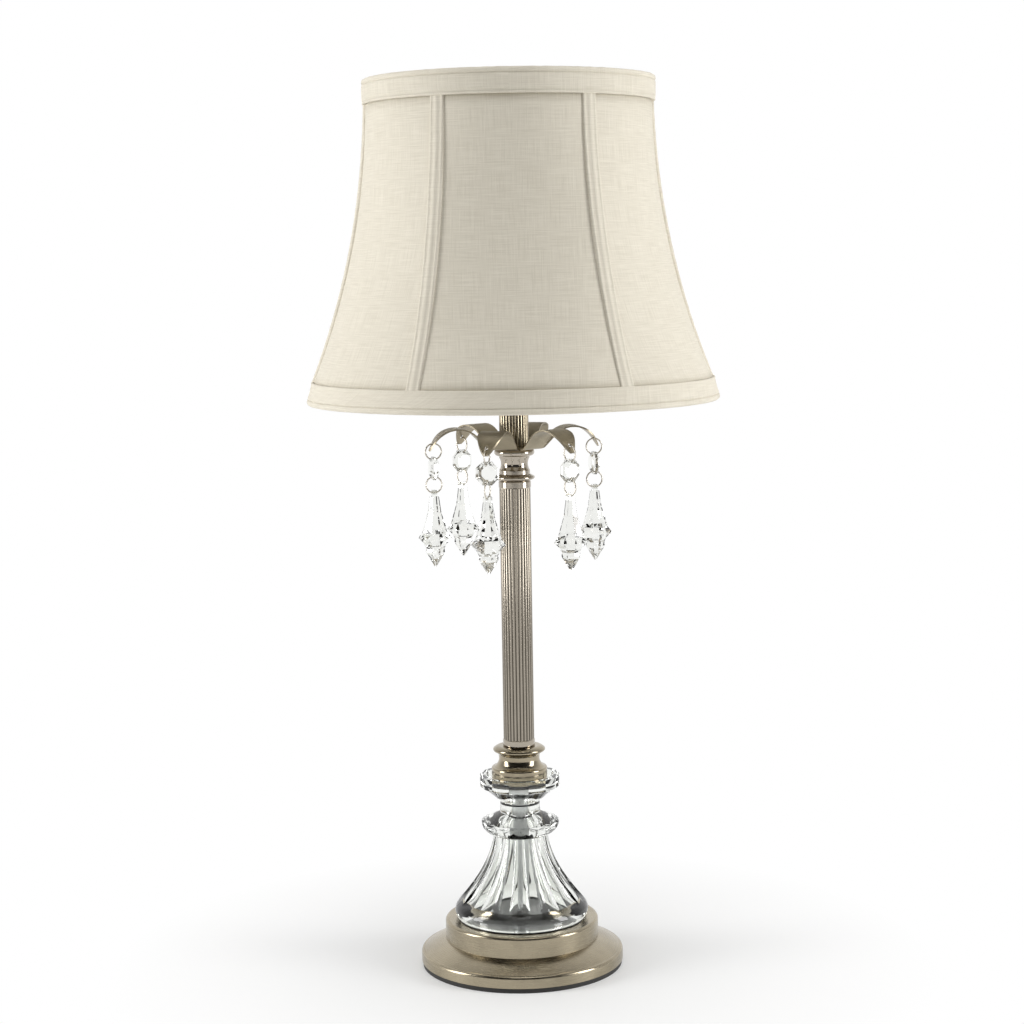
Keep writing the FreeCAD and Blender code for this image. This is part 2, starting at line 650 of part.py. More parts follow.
def octagon(width, centre, depth_axis):
    """Regular octagon with flats up, down and to the sides, square to `depth_axis`."""
    radius = width / 2 / math.cos(math.radians(22.5))
    points = []
    for index in range(9):
        angle = math.radians(22.5 + 45 * index)
        if depth_axis == "radial":
            offset = Vector(0, radius * math.cos(angle), radius * math.sin(angle))
        else:
            offset = Vector(radius * math.cos(angle), radius * math.sin(angle), 0)
        points.append(centre + offset)
    return Part.makePolygon(points)


def bead():
    """Octagon bead: a table on each side, bevels and a thin girdle, drilled top and bottom."""
    upper, lower = link_centres()
    middle = at(hang_point().x, (upper + lower) / 2)
    out = Vector(1, 0, 0)
    sections = [(BEAD_TABLE_WIDTH, -BEAD_THICKNESS / 2), (BEAD_WIDTH, -BEAD_EDGE_THICKNESS / 2),
                (BEAD_WIDTH, BEAD_EDGE_THICKNESS / 2), (BEAD_TABLE_WIDTH, BEAD_THICKNESS / 2)]
    wires = [octagon(width, middle + out * offset, "radial") for width, offset in sections]
    gem = Part.makeLoft(wires, True, True)
    for height in (upper - LINK_RADIUS, lower + LINK_RADIUS):
        gem = gem.cut(crystal_hole(BEAD_HOLE_RADIUS, height))
    return gem


def pendant():
    """Faceted drop: drilled lug, stem flaring to a skirt, broad girdle and pointed end."""
    upper, lower = link_centres()
    hole = lower - LINK_RADIUS
    top = hole + HOLE_INSET
    girdle = PENDANT_GIRDLE_WIDTH
    profile = [(LUG_HEIGHT, LUG_WIDTH), (PENDANT_LENGTH * 0.30, girdle * 0.41),
               (PENDANT_LENGTH * 0.45, girdle * 0.62), (PENDANT_LENGTH * 0.56, girdle * 0.76),
               (PENDANT_LENGTH * 0.63, girdle), (PENDANT_LENGTH * 0.70, girdle * 0.68),
               (PENDANT_LENGTH * 0.76, girdle * 0.54), (PENDANT_LENGTH * 0.81, girdle * 0.57),
               (PENDANT_LENGTH * 0.89, girdle * 0.37), (PENDANT_LENGTH, girdle * 0.05)]
    wires = [octagon(width, at(hang_point().x, top - drop), "upright") for drop, width in profile]
    body = Part.makeLoft(wires, True, True)
    corner = at(hang_point().x - LUG_THICKNESS / 2, top - LUG_HEIGHT)
    lug = Part.makeBox(LUG_THICKNESS, LUG_WIDTH * 0.9, LUG_HEIGHT, corner - Vector(0, LUG_WIDTH * 0.45, 0))
    bevel = Part.makeCylinder(LUG_WIDTH * 0.5, 2 * BEAD_WIDTH, at(hang_point().x - BEAD_WIDTH, hole - 0.6),
                              Vector(1, 0, 0))
    below = Part.makeBox(2 * BEAD_WIDTH, 2 * BEAD_WIDTH, LUG_HEIGHT,
                         at(hang_point().x - BEAD_WIDTH, hole - LUG_HEIGHT) - Vector(0, BEAD_WIDTH, 0))
    rounded_lug = lug.common(fused([bevel, below]))
    return fused([body, rounded_lug]).cut(crystal_hole(BEAD_HOLE_RADIUS, hole))


# Neck and lampholder

def spray_nut():
    """Nut on the hub of the spray, hidden in the sleeve."""
    across = (SLEEVE_RADIUS - SLEEVE_WALL - SLIP_PLAY) * 2 * math.cos(math.radians(30))
    return hexagonal_nut(across, ROD_RADIUS + THREAD_PLAY, HUB_TOP, NUT_THICKNESS)


def neck_sleeve():
    """Reeded sleeve between the spray and the lampholder."""
    reeds = lobed_prism(SLEEVE_RADIUS - REED_DEPTH, SLEEVE_RADIUS, SLEEVE_REED_COUNT, HUB_TOP,
                        SLEEVE_HEIGHT)
    return reeds.cut(Part.makeCylinder(SLEEVE_RADIUS - SLEEVE_WALL, SLEEVE_HEIGHT, at(0, HUB_TOP)))


def key_height():
    """Height of the switch key's axis."""
    return SKIRT_FOOT - HOLDER_CAP_HEIGHT * 0.3


def key_cylinder(radius, start, length):
    """Cylinder on the switch key's axis."""
    shaft = Part.makeCylinder(radius, length, at(start, key_height()), Vector(1, 0, 0))
    return to_azimuth(shaft, KEY_AZIMUTH)


def holder_cap():
    """Drawn metal cup on the end of the rod, with a hole for the switch key."""
    bore = ROD_RADIUS + THREAD_PLAY
    wall = HOLDER_CAP_WALL
    floor = SLEEVE_TOP
    shoulder = floor + HOLDER_CAP_HEIGHT * 0.5
    collar = SLEEVE_RADIUS + 1
    cup = turned(at(bore, floor), at(collar, floor),
                 (at(HOLDER_CAP_RADIUS - 1.6, floor + 4.6), at(HOLDER_CAP_RADIUS, shoulder)),
                 at(HOLDER_CAP_RADIUS, SKIRT_FOOT), at(HOLDER_CAP_RADIUS - wall, SKIRT_FOOT),
                 at(HOLDER_CAP_RADIUS - wall, shoulder),
                 (at(HOLDER_CAP_RADIUS - 1.6 - wall, floor + 4.6 + wall), at(collar - 1, floor + 1.5)),
                 at(collar - 1, ROD_TOP - 1), at(bore, ROD_TOP - 1))
    return cup.cut(key_cylinder(KEY_SHAFT_RADIUS + SLIP_PLAY, collar, HOLDER_CAP_RADIUS))


def holder_skirt():
    """Moulded skirt that stands on the cap, threaded outside for the two rings."""
    outer = HOLDER_RADIUS
    inner = HOLDER_RADIUS - HOLDER_WALL
    top = SKIRT_FOOT + HOLDER_HEIGHT
    lead = 1.0
    return turned(at(BULB_CONTACT_RADIUS, SKIRT_FOOT), at(outer, SKIRT_FOOT), at(outer, top - lead),
                  at(outer - lead, top), at(inner, top), at(inner, CORE_FOOT),
                  at(BULB_CONTACT_RADIUS, CORE_FOOT))


def holder_core():
    """Ceramic core that carries the contacts."""
    outer = HOLDER_RADIUS - HOLDER_WALL
    core = tube(outer, TERMINAL_RADIUS, CORE_FOOT, CORE_HEIGHT)
    for side in (-1, 1):
        foot = Vector(0, side * TERMINAL_SPACING / 2, CORE_TOP - TERMINAL_HEIGHT)
        core = core.cut(Part.makeCylinder(TERMINAL_RADIUS + THREAD_PLAY, TERMINAL_HEIGHT, foot))
    return core


def holder_terminals():
    """Two screw heads set in the core."""
    heads = []
    for side in (-1, 1):
        foot = Vector(0, side * TERMINAL_SPACING / 2, CORE_TOP - TERMINAL_HEIGHT)
        head = Part.makeCylinder(TERMINAL_RADIUS, TERMINAL_HEIGHT, foot)
        slot = Part.makeBox(4 * TERMINAL_RADIUS, 0.6, 0.8, foot + Vector(-2 * TERMINAL_RADIUS, -0.3, 1.7))
        heads.append(head.cut(slot))
    return Part.makeCompound(heads)


def holder_contact():
    """Sprung tongue that meets the bulb's foot contact, with a tail through the core."""
    blade = Part.makeBox(9, 5, 0.6, Vector(-4.5, -2.5, CORE_TOP))
    dome = Part.makeCylinder(2.0, CONTACT_TOP - CORE_TOP - 0.6, at(0, CORE_TOP + 0.6))
    tail = Part.makeCylinder(TERMINAL_RADIUS, CORE_HEIGHT, at(0, CORE_FOOT))
    return fused([blade, dome, tail])


def screw_shell():
    """Threaded metal shell that takes the bulb's cap."""
    top = SKIRT_FOOT + HOLDER_HEIGHT - 4
    return tube(SCREW_SHELL_RADIUS, SCREW_SHELL_RADIUS - SCREW_SHELL_WALL, CORE_TOP, top - CORE_TOP)


def seat_ring():
    """Fixed ring on the skirt that the shade's fitter rests on."""
    edge = 0.6
    top = SEAT_RING_FOOT + SEAT_RING_THICKNESS
    bore = HOLDER_RADIUS + THREAD_PLAY
    return turned(at(bore, SEAT_RING_FOOT), at(SEAT_RING_RADIUS - edge, SEAT_RING_FOOT),
                  at(SEAT_RING_RADIUS, SEAT_RING_FOOT + edge), at(SEAT_RING_RADIUS, top), at(bore, top))


def clamp_ring():
    """Ring that screws down on the shade's fitter, with finger grips round it."""
    bore = HOLDER_RADIUS + SLIP_PLAY
    ring = tube(SEAT_RING_RADIUS, bore, CLAMP_RING_FOOT, CLAMP_RING_HEIGHT)
    grip = lobed_prism(SEAT_RING_RADIUS - 0.8, SEAT_RING_RADIUS, CLAMP_RING_GRIPS, CLAMP_RING_FOOT,
                       CLAMP_RING_HEIGHT)
    return ring.common(grip)


def switch_key():
    """Turn key of the switch: a shaft into the cap and a flat grip with a round end."""
    start = HOLDER_CAP_RADIUS - KEY_SHAFT_INSET
    shaft = key_cylinder(KEY_SHAFT_RADIUS, start, KEY_SHAFT_LENGTH)
    grip_start = start + KEY_SHAFT_LENGTH
    half = KEY_GRIP_WIDTH / 2
    height = key_height()
    side = Vector(0, 1, 0)
    root = at(grip_start, height)
    end = at(grip_start + KEY_GRIP_LENGTH - half, height)
    face = outline(root - side * KEY_SHAFT_RADIUS * 1.6, end - side * half,
                   (end + Vector(half, 0, 0), end + side * half), root + side * KEY_SHAFT_RADIUS * 1.6)
    grip = Part.Face(face).extrude(UP * KEY_GRIP_THICKNESS)
    grip.translate(UP * (-KEY_GRIP_THICKNESS / 2))
    overlap = key_cylinder(KEY_SHAFT_RADIUS, grip_start, 1)
    return fused([shaft, overlap, to_azimuth(grip, KEY_AZIMUTH)])


# Bulb

def bulb_cap():
    """Screw cap of the bulb."""
    foot = BULB_FOOT + BULB_CONTACT_HEIGHT
    shoulder = foot + 3
    top = BULB_FOOT + BULB_CAP_HEIGHT
    return turned(at(0, foot), at(BULB_CONTACT_RADIUS + 4, foot), at(BULB_CAP_RADIUS, shoulder),
                  at(BULB_CAP_RADIUS, top - 2), at(BULB_NECK_RADIUS + 0.6, top), at(0, top))


def bulb_contact():
    """Foot contact of the bulb with its insulator."""
    foot = BULB_FOOT
    top = BULB_FOOT + BULB_CONTACT_HEIGHT
    return turned(at(0, foot), at(BULB_CONTACT_RADIUS - 1.5, foot), at(BULB_CONTACT_RADIUS, foot + 1.2),
                  at(BULB_CONTACT_RADIUS + 3, top), at(0, top))


def bulb_glass():
    """Frosted candle-shaped glass."""
    foot = BULB_FOOT + BULB_CAP_HEIGHT
    tip = BULB_FOOT + BULB_LENGTH
    belly = foot + (tip - foot) * 0.42
    return turned(at(0, foot), at(BULB_NECK_RADIUS, foot),
                  (at(BULB_RADIUS - 1.6, foot + (belly - foot) * 0.5), at(BULB_RADIUS, belly)),
                  (at(BULB_RADIUS * 0.72, belly + (tip - belly) * 0.55), at(2.2, tip - 2)),
                  (at(1.6, tip - 0.6), at(0.6, tip)), at(0, tip))


# Shade

def meridian(inset, foot, top):
    """The fabric's outline between two heights, moved in by `inset`: foot, middle and top points."""
    low = at(SHADE_BOTTOM_RADIUS, FABRIC_FOOT)
    high = at(SHADE_TOP_RADIUS, FABRIC_TOP)
    chord = high - low
    normal = Vector(-chord.z, 0, chord.x).normalize()
    bowed = (low + high) * 0.5 + normal * SHADE_BOW
    circle = Part.Arc(low, bowed, high).toShape().Curve
    points = []
    for height in (foot, (foot + top) / 2, top):
        reach = circle.Radius ** 2 - (height - circle.Center.z) ** 2
        points.append(at(circle.Center.x - math.sqrt(reach) - inset, height))
    return points


def shade_radius(height, inset=0.0):
    """Radius of the fabric at a seam."""
    return meridian(inset, height, height)[0].x


def panel_section(height, inset_out, inset_in):
    """Section of one panel between two seams: bowed outside and inside, flatter than a circle."""
    half = 180.0 / PANEL_COUNT
    share = (height - FABRIC_FOOT) / (FABRIC_TOP - FABRIC_FOOT)
    flat = 1 - PANEL_FLATNESS * math.sin(math.pi * share)
    corners = []
    for inset in (inset_out, inset_in):
        radius = shade_radius(height, inset)
        slack = math.degrees(PANEL_JOIN / radius)
        corners.append([polar(radius, -half + slack, height), polar(radius * flat, 0, height),
                        polar(radius, half - slack, height)])
    outer, inner = corners
    edges = [Part.Arc(*outer).toShape(), Part.makeLine(outer[2], inner[2]),
             Part.Arc(inner[2], inner[1], inner[0]).toShape(), Part.makeLine(inner[0], outer[0])]
    return Part.Wire(edges)


def shade_panels():
    """Six bowed fabric panels between the bands."""
    runs = 6
    foot = FABRIC_FOOT + SEAT_GAP
    top = FABRIC_TOP - SEAT_GAP
    heights = [foot + (top - foot) * step / runs for step in range(runs + 1)]
    panel = Part.makeLoft([panel_section(height, 0, FABRIC_THICKNESS) for height in heights], True, False)
    azimuths = [SEAM_AZIMUTH + 360.0 / PANEL_COUNT * index for index in range(PANEL_COUNT)]
    return Part.makeCompound([to_azimuth(panel, azimuth) for azimuth in azimuths])


def seam_azimuths():
    """Azimuths of the seams and of the ribs under them."""
    pitch = 360.0 / PANEL_COUNT
    return [SEAM_AZIMUTH + pitch * (index + 0.5) for index in range(PANEL_COUNT)]


def shade_seams():
    """Folded strips over the seams."""
    foot, middle, top = meridian(-SEAM_THICKNESS - SEAT_GAP, FABRIC_FOOT + SEAT_GAP, FABRIC_TOP - SEAT_GAP)
    low, halfway, high = meridian(-SEAT_GAP, foot.z, top.z)
    face = Part.Face(outline(foot, (middle, top), high, (halfway, low)))
    half = SEAM_WIDTH / 2
    strip = face.extrude(Vector(0, SEAM_WIDTH, 0))
    strip.translate(Vector(0, -half, 0))
    return Part.makeCompound([to_azimuth(strip, azimuth) for azimuth in seam_azimuths()])


def shade_lining():
    """Thin lining inside the ribs, from band to band, clear of the flat of each panel."""
    inset = FABRIC_THICKNESS + 2 * RIB_WIRE_RADIUS + 2 * SEAT_GAP
    foot, middle, top = meridian(inset, FABRIC_FOOT, FABRIC_TOP)
    clear = Vector(PANEL_FLATNESS * SHADE_BOTTOM_RADIUS, 0, 0)
    wall = Vector(LINING_THICKNESS, 0, 0)
    outer_middle = middle - clear
    return turned(foot, (outer_middle, top), top - wall, (outer_middle - wall, foot - wall))


def top_band_radius():
    """Outer radius of the top band."""
    return SHADE_TOP_RADIUS + BAND_STEP


def bottom_band_radius():
    """Outer radius of the bottom band at its upper edge."""
    return SHADE_BOTTOM_RADIUS + BAND_STEP


def shade_top_band():
    """Folded hem round the top ring."""
    outer = top_band_radius()
    inner = outer - BAND_WALL
    edge = 0.6
    return turned(at(inner, FABRIC_TOP), at(outer, FABRIC_TOP), at(outer + edge, SHADE_TOP - 1),
                  at(outer, SHADE_TOP), at(inner, SHADE_TOP))


def shade_bottom_band():
    """Folded hem round the bottom ring, widening downwards."""
    outer = bottom_band_radius()
    low = outer + BAND_FLARE
    return turned(at(low - BAND_WALL, SHADE_BOTTOM), at(low, SHADE_BOTTOM), at(low, SHADE_BOTTOM + 1.5),
                  at(outer, FABRIC_FOOT), at(outer - BAND_WALL, FABRIC_FOOT),
                  at(low - BAND_WALL, SHADE_BOTTOM + 1.5))


def frame_ring(band_radius, height):
    """Wire ring inside a band."""
    radius = band_radius - BAND_WALL - FRAME_RING_WIRE_RADIUS - THREAD_PLAY
    return Part.makeTorus(radius, FRAME_RING_WIRE_RADIUS, at(0, height))


def top_ring_height():
    """Height of the frame's top ring."""
    return SHADE_TOP - 3 - FRAME_RING_WIRE_RADIUS


def bottom_ring_height():
    """Height of the frame's bottom ring."""
    return SHADE_BOTTOM + FRAME_RING_WIRE_RADIUS


def shade_top_ring():
    """Top ring of the wire frame."""
    return frame_ring(top_band_radius(), top_ring_height())


def shade_bottom_ring():
    """Bottom ring of the wire frame."""
    return frame_ring(bottom_band_radius() + BAND_FLARE, bottom_ring_height())


def shade_ribs():
    """Six bowed wires welded between the rings, one under each seam."""
    inset = FABRIC_THICKNESS + RIB_WIRE_RADIUS + SEAT_GAP
    foot, middle, top = meridian(inset, bottom_ring_height() + 2, top_ring_height() - 1)
    path = Part.Wire(Part.Arc(foot, middle, top).toShape())
    circle = Part.makeCircle(RIB_WIRE_RADIUS, foot, UP)
    wire = path.makePipeShell([Part.Wire(circle)], True, True)
    for other in (shade_top_ring(), shade_bottom_ring(), shade_bottom_band()):
        wire = wire.cut(other)
    return Part.makeCompound([to_azimuth(wire, azimuth) for azimuth in seam_azimuths()])


def shade_fitter():
    """Flat ring over the lampholder with three wires down to the frame's bottom ring."""
    edge = SEAT_RING_RADIUS + FITTER_OVERHANG
    ring = tube(edge, HOLDER_RADIUS + FITTER_PLAY, FITTER_FOOT, FITTER_THICKNESS)
    low = bottom_band_radius() + BAND_FLARE - BAND_WALL - FRAME_RING_WIRE_RADIUS - THREAD_PLAY
    weld = at(edge, FITTER_FOOT + FITTER_THICKNESS / 2)
    slope = (weld.z - bottom_ring_height()) / (low - edge)
    start = weld + Vector(slope * FITTER_THICKNESS / 2, 0, 0)
    run = at(low, bottom_ring_height()) - start
    length = run.Length - FRAME_RING_WIRE_RADIUS - THREAD_PLAY
    arm = Part.makeCylinder(FITTER_ARM_RADIUS, length, start, run)
    return Part.makeCompound([ring] + [to_azimuth(arm, azimuth) for azimuth in FITTER_ARM_AZIMUTHS])


NODES = {
    "base_pad": base_pad,
    "base_shell": base_shell,
    "base_weight": base_weight,
    "base_washer": base_washer,
    "base_nut": base_nut,
    "cord_inlet": cord_inlet,
    "bell_gasket": bell_gasket,
    "glass_bell": glass_bell,
    "glass_dish": glass_dish,
    "dish_gasket": dish_gasket,
    "threaded_rod": threaded_rod,
    "coupling": coupling,
    "column_foot_ring": lambda: end_ring(COUPLING_TOP),
    "column_tube": column_tube,
    "column_top_ring": lambda: end_ring(COLUMN_TOP),
    "capital": capital,
    "leaf_spray": leaf_spray,
    "spray_nut": spray_nut,
    "neck_sleeve": neck_sleeve,
    "holder_cap": holder_cap,
    "holder_skirt": holder_skirt,
    "holder_core": holder_core,
    "holder_terminals": holder_terminals,
    "holder_contact": holder_contact,
    "screw_shell": screw_shell,
    "seat_ring": seat_ring,
    "switch_key": switch_key,
    "clamp_ring": clamp_ring,
    "shade_fitter": shade_fitter,
    "shade_top_ring": shade_top_ring,
    "shade_bottom_ring": shade_bottom_ring,
    "shade_ribs": shade_ribs,
    "shade_panels": shade_panels,
    "shade_seams": shade_seams,
    "shade_lining": shade_lining,
    "shade_top_band": shade_top_band,
    "shade_bottom_band": shade_bottom_band,
    "bulb_cap": bulb_cap,
    "bulb_contact": bulb_contact,
    "bulb_glass": bulb_glass,
}


def drop_pieces():
    """The four pieces of a drop, towards +X."""
    upper, lower = link_centres()
    return {"upper_link": link(upper), "bead": bead(), "lower_link": link(lower), "pendant": pendant()}


def main():
    """Build every sub-part and write it to parts/."""
    os.makedirs("parts", exist_ok=True)
    shapes = {name: make() for name, make in NODES.items()}
    pieces = drop_pieces()
    for number, azimuth in enumerate(DROP_AZIMUTHS, start=1):
        for name, piece in pieces.items():
            shapes[f"drop_{number}_{name}"] = to_azimuth(piece, azimuth)
    for name, shape in shapes.items():
        shape.exportStep(f"parts/{name}.step")
        print(f"{name}: {len(shape.Solids)} solids, {shape.Volume:.0f} mm3, valid {shape.isValid()}")


main()
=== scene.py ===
"""Finishes, fabric and studio for a candlestick table lamp with pressed glass and crystal drops.

Metres. The lamp stands on z = 0 with its axis on Z, and it is seen from the -Y side.
An azimuth is counted about Z from that side towards +X.
"""

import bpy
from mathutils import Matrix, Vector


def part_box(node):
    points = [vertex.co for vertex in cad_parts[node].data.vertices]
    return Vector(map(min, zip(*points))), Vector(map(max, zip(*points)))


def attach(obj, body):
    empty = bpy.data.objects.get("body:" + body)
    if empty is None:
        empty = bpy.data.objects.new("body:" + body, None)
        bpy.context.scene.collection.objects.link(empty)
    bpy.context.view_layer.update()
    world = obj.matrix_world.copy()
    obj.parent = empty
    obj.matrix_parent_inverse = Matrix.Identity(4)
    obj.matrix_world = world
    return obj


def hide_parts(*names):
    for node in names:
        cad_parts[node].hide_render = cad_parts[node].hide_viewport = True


bl_info = {
    "name": "Candlestick lamp finishes",
    "version": (1, 0, 0),
    "blender": (4, 5, 0),
    "location": "3D View > Sidebar > Lamp",
    "description": "Linen shade, metal, glass and crystal finishes for a candlestick lamp",
    "category": "Object",
}

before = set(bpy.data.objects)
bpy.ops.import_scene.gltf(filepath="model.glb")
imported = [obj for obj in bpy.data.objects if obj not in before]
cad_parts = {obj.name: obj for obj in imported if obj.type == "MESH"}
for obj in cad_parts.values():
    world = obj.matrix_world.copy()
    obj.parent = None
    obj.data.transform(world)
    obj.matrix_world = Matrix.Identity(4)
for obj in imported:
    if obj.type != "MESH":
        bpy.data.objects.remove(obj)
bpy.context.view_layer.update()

import math
from random import Random

import bpy
from mathutils import Matrix, Vector

FABRIC_NODES = ("shade_panels", "shade_bottom_band", "shade_top_band", "shade_lining")
NODE_BOX = {node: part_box(node) for node in FABRIC_NODES}
FABRIC_FOOT, FABRIC_TOP = (corner.z for corner in NODE_BOX["shade_panels"])
DROP_NUMBERS = range(1, 6)
PANEL_COUNT = 6
MM = 0.001

# Places on the cloth that the pieces are cut from, in metres, so that no two show the same weave
PANEL_STEP_ACROSS, PANEL_STEP_ALONG = 0.37, 0.11
STRIP_STEP, STRIP_START = 0.21, 5.0
BAND_START, LINING_START = 9.0, 15.0

# Name, place, width, height and share of the key power of each softbox
SOFTBOXES = (
    ("left_softbox", (-1.30, -0.25, 0.55), 0.45, 1.1, 1.35),
    ("right_softbox", (1.30, -0.35, 0.55), 0.45, 1.1, 1.3),
    ("top_softbox", (0.1, -0.25, 1.7), 0.9, 0.9, 0.6))
SOFTBOX_TARGET = (0, 0, 0.27)
FLOOR_HALF_WIDTH = 3.0


# Sizes and colours that a user would change

class ShadeSettings(bpy.types.PropertyGroup):
    """Sizes and colours of the fabric shade."""

    panel_azimuth: bpy.props.FloatProperty(
        name="Front panel", description="Azimuth of the middle of the panel that faces the viewer",
        default=math.radians(2), subtype="ANGLE", unit="ROTATION")
    seam_width: bpy.props.FloatProperty(
        name="Seam width", description="Width of the folded strip over a seam",
        default=9.2 * MM, min=2 * MM, subtype="DISTANCE", unit="LENGTH")
    foot_radius: bpy.props.FloatProperty(
        name="Foot radius", description="Radius of the fabric above the bottom band",
        default=121.2 * MM, subtype="DISTANCE", unit="LENGTH")
    top_radius: bpy.props.FloatProperty(
        name="Top radius", description="Radius of the fabric under the top band",
        default=86.2 * MM, subtype="DISTANCE", unit="LENGTH")
    bow: bpy.props.FloatProperty(
        name="Bow", description="Depth of the inward curve of the outline",
        default=7.6 * MM, subtype="DISTANCE", unit="LENGTH")
    roll_radius: bpy.props.FloatProperty(
        name="Roll", description="Radius of the rolled edges round the wire rings",
        default=1.9 * MM, subtype="DISTANCE", unit="LENGTH")
    panel_flatness: bpy.props.FloatProperty(
        name="Panel flatness", description="Share of the radius that a panel loses at its middle",
        default=0.045, min=0, max=0.12, subtype="FACTOR")
    fabric_thickness: bpy.props.FloatProperty(
        name="Fabric thickness", description="Thickness of the linen",
        default=0.9 * MM, min=0.3 * MM, subtype="DISTANCE", unit="LENGTH")
    pucker: bpy.props.FloatProperty(
        name="Pucker", description="How far the stitched edges ripple",
        default=0.22 * MM, min=0, subtype="DISTANCE", unit="LENGTH")
    linen_colour: bpy.props.FloatVectorProperty(
        name="Linen", description="Colour of the linen threads",
        default=(0.725, 0.68, 0.58), size=3, min=0, max=1, subtype="COLOR")
    linen_shadow: bpy.props.FloatVectorProperty(
        name="Linen gaps", description="Colour between the linen threads",
        default=(0.585, 0.54, 0.445), size=3, min=0, max=1, subtype="COLOR")
    lining_colour: bpy.props.FloatVectorProperty(
        name="Lining", description="Colour of the smooth lining",
        default=(0.86, 0.84, 0.79), size=3, min=0, max=1, subtype="COLOR")


class FinishSettings(bpy.types.PropertyGroup):
    """Colours of the metals, glass and plastics."""

    antique_colour: bpy.props.FloatVectorProperty(
        name="Antique nickel", description="Colour of the brushed base, coupling and leaves",
        default=(0.42, 0.365, 0.265), size=3, min=0, max=1, subtype="COLOR")
    nickel_colour: bpy.props.FloatVectorProperty(
        name="Polished nickel", description="Colour of the column and its turned ends",
        default=(0.44, 0.395, 0.33), size=3, min=0, max=1, subtype="COLOR")
    glass_colour: bpy.props.FloatVectorProperty(
        name="Pressed glass", description="Tint of the pressed glass",
        default=(0.93, 0.945, 0.915), size=3, min=0, max=1, subtype="COLOR")
    crystal_colour: bpy.props.FloatVectorProperty(
        name="Crystal", description="Tint of the hanging crystals",
        default=(0.92, 0.925, 0.895), size=3, min=0, max=1, subtype="COLOR")


class StageSettings(bpy.types.PropertyGroup):
    """Camera and light of the studio."""

    camera_distance: bpy.props.FloatProperty(
        name="Camera distance", description="From the lamp's axis",
        default=1.340, min=0.3, subtype="DISTANCE", unit="LENGTH")
    camera_height: bpy.props.FloatProperty(
        name="Camera height", description="Above the floor",
        default=0.441, min=0, subtype="DISTANCE", unit="LENGTH")
    camera_side: bpy.props.FloatProperty(
        name="Camera side", description="Sideways place of the camera",
        default=-0.002, subtype="DISTANCE", unit="LENGTH")
    camera_pitch: bpy.props.FloatProperty(
        name="Camera pitch", description="Downwards from level",
        default=math.radians(6.66), subtype="ANGLE", unit="ROTATION")
    camera_roll: bpy.props.FloatProperty(
        name="Camera roll", description="About the line of sight",
        default=-0.0166, subtype="ANGLE", unit="ROTATION")
    lens: bpy.props.FloatProperty(
        name="Lens", description="Focal length for a 36 mm frame, in millimetres",
        default=77.13, min=10)
    fill: bpy.props.FloatProperty(
        name="Fill", description="Strength of the light from all round",
        default=0.37, min=0)
    key: bpy.props.FloatProperty(
        name="Key", description="Power of the softboxes", default=9.9, min=0, subtype="POWER", unit="POWER")


# Node-tree helpers

def add(tree, kind, inputs=None, **settings):
    """A shader node with its settings made and its inputs set or joined."""
    made = tree.nodes.new(kind)
    for key, value in settings.items():
        setattr(made, key, value)
    for key, value in (inputs or {}).items():
        if isinstance(value, bpy.types.NodeSocket):
            tree.links.new(value, made.inputs[key])
        else:
            made.inputs[key].default_value = value
    return made


def calculate(tree, operation, *values):
    """Output of a Math node."""
    return add(tree, "ShaderNodeMath", dict(enumerate(values)), operation=operation).outputs[0]


def blend_colours(tree, factor, first, second):
    """Output of a colour mix."""
    mix = add(tree, "ShaderNodeMix", data_type="RGBA", blend_type="MIX", clamp_factor=True)
    for socket, value in (("Factor_Float", factor), ("A_Color", first), ("B_Color", second)):
        target = next(s for s in mix.inputs if s.identifier == socket)
        if isinstance(value, bpy.types.NodeSocket):
            tree.links.new(value, target)
        else:
            target.default_value = value
    return next(s for s in mix.outputs if s.identifier == "Result_Color")


def rescale(tree, value, low, high, to_low, to_high):
    """Output of a Map Range node."""
    return add(tree, "ShaderNodeMapRange", {"Value": value, "From Min": low, "From Max": high,
                                            "To Min": to_low, "To Max": to_high}).outputs[0]


def stretched_noise(tree, vector, scales, detail=2.0):
    """Noise with its own scale along each axis."""
    scaled = add(tree, "ShaderNodeVectorMath", {0: vector, 1: scales}, operation="MULTIPLY").outputs[0]
    return add(tree, "ShaderNodeTexNoise", {"Vector": scaled, "Scale": 1.0, "Detail": detail}).outputs["Fac"]


def rgba(colour):
    """A property's colour with full opacity."""
    return (*colour, 1.0)


def start_group(name, inputs, outputs):
    """New shader node group with its sockets, and its input and output nodes."""
    group = bpy.data.node_groups.new(name, "ShaderNodeTree")
    for label, kind, default in inputs:
        socket = group.interface.new_socket(label, in_out="INPUT", socket_type=kind)
        if default is not None:
            socket.default_value = default
    for label, kind in outputs:
        group.interface.new_socket(label, in_out="OUTPUT", socket_type=kind)
    return group, add(group, "NodeGroupInput").outputs, add(group, "NodeGroupOutput")


def close_group(group, sink, **results):
    """Joins a group's results to its outputs."""
    for name, value in results.items():
        group.links.new(value, sink.inputs[name.replace("_", " ").title()])
    return group


def use_group(tree, group, values):
    """Outputs of a group placed in a material with its own values."""
    placed = add(tree, "ShaderNodeGroup", node_tree=group)
    for key, value in values.items():
        if isinstance(value, bpy.types.NodeSocket):
            tree.links.new(value, placed.inputs[key])
        else:
            placed.inputs[key].default_value = value
    return placed.outputs


FLOAT = "NodeSocketFloat"
COLOUR = "NodeSocketColor"


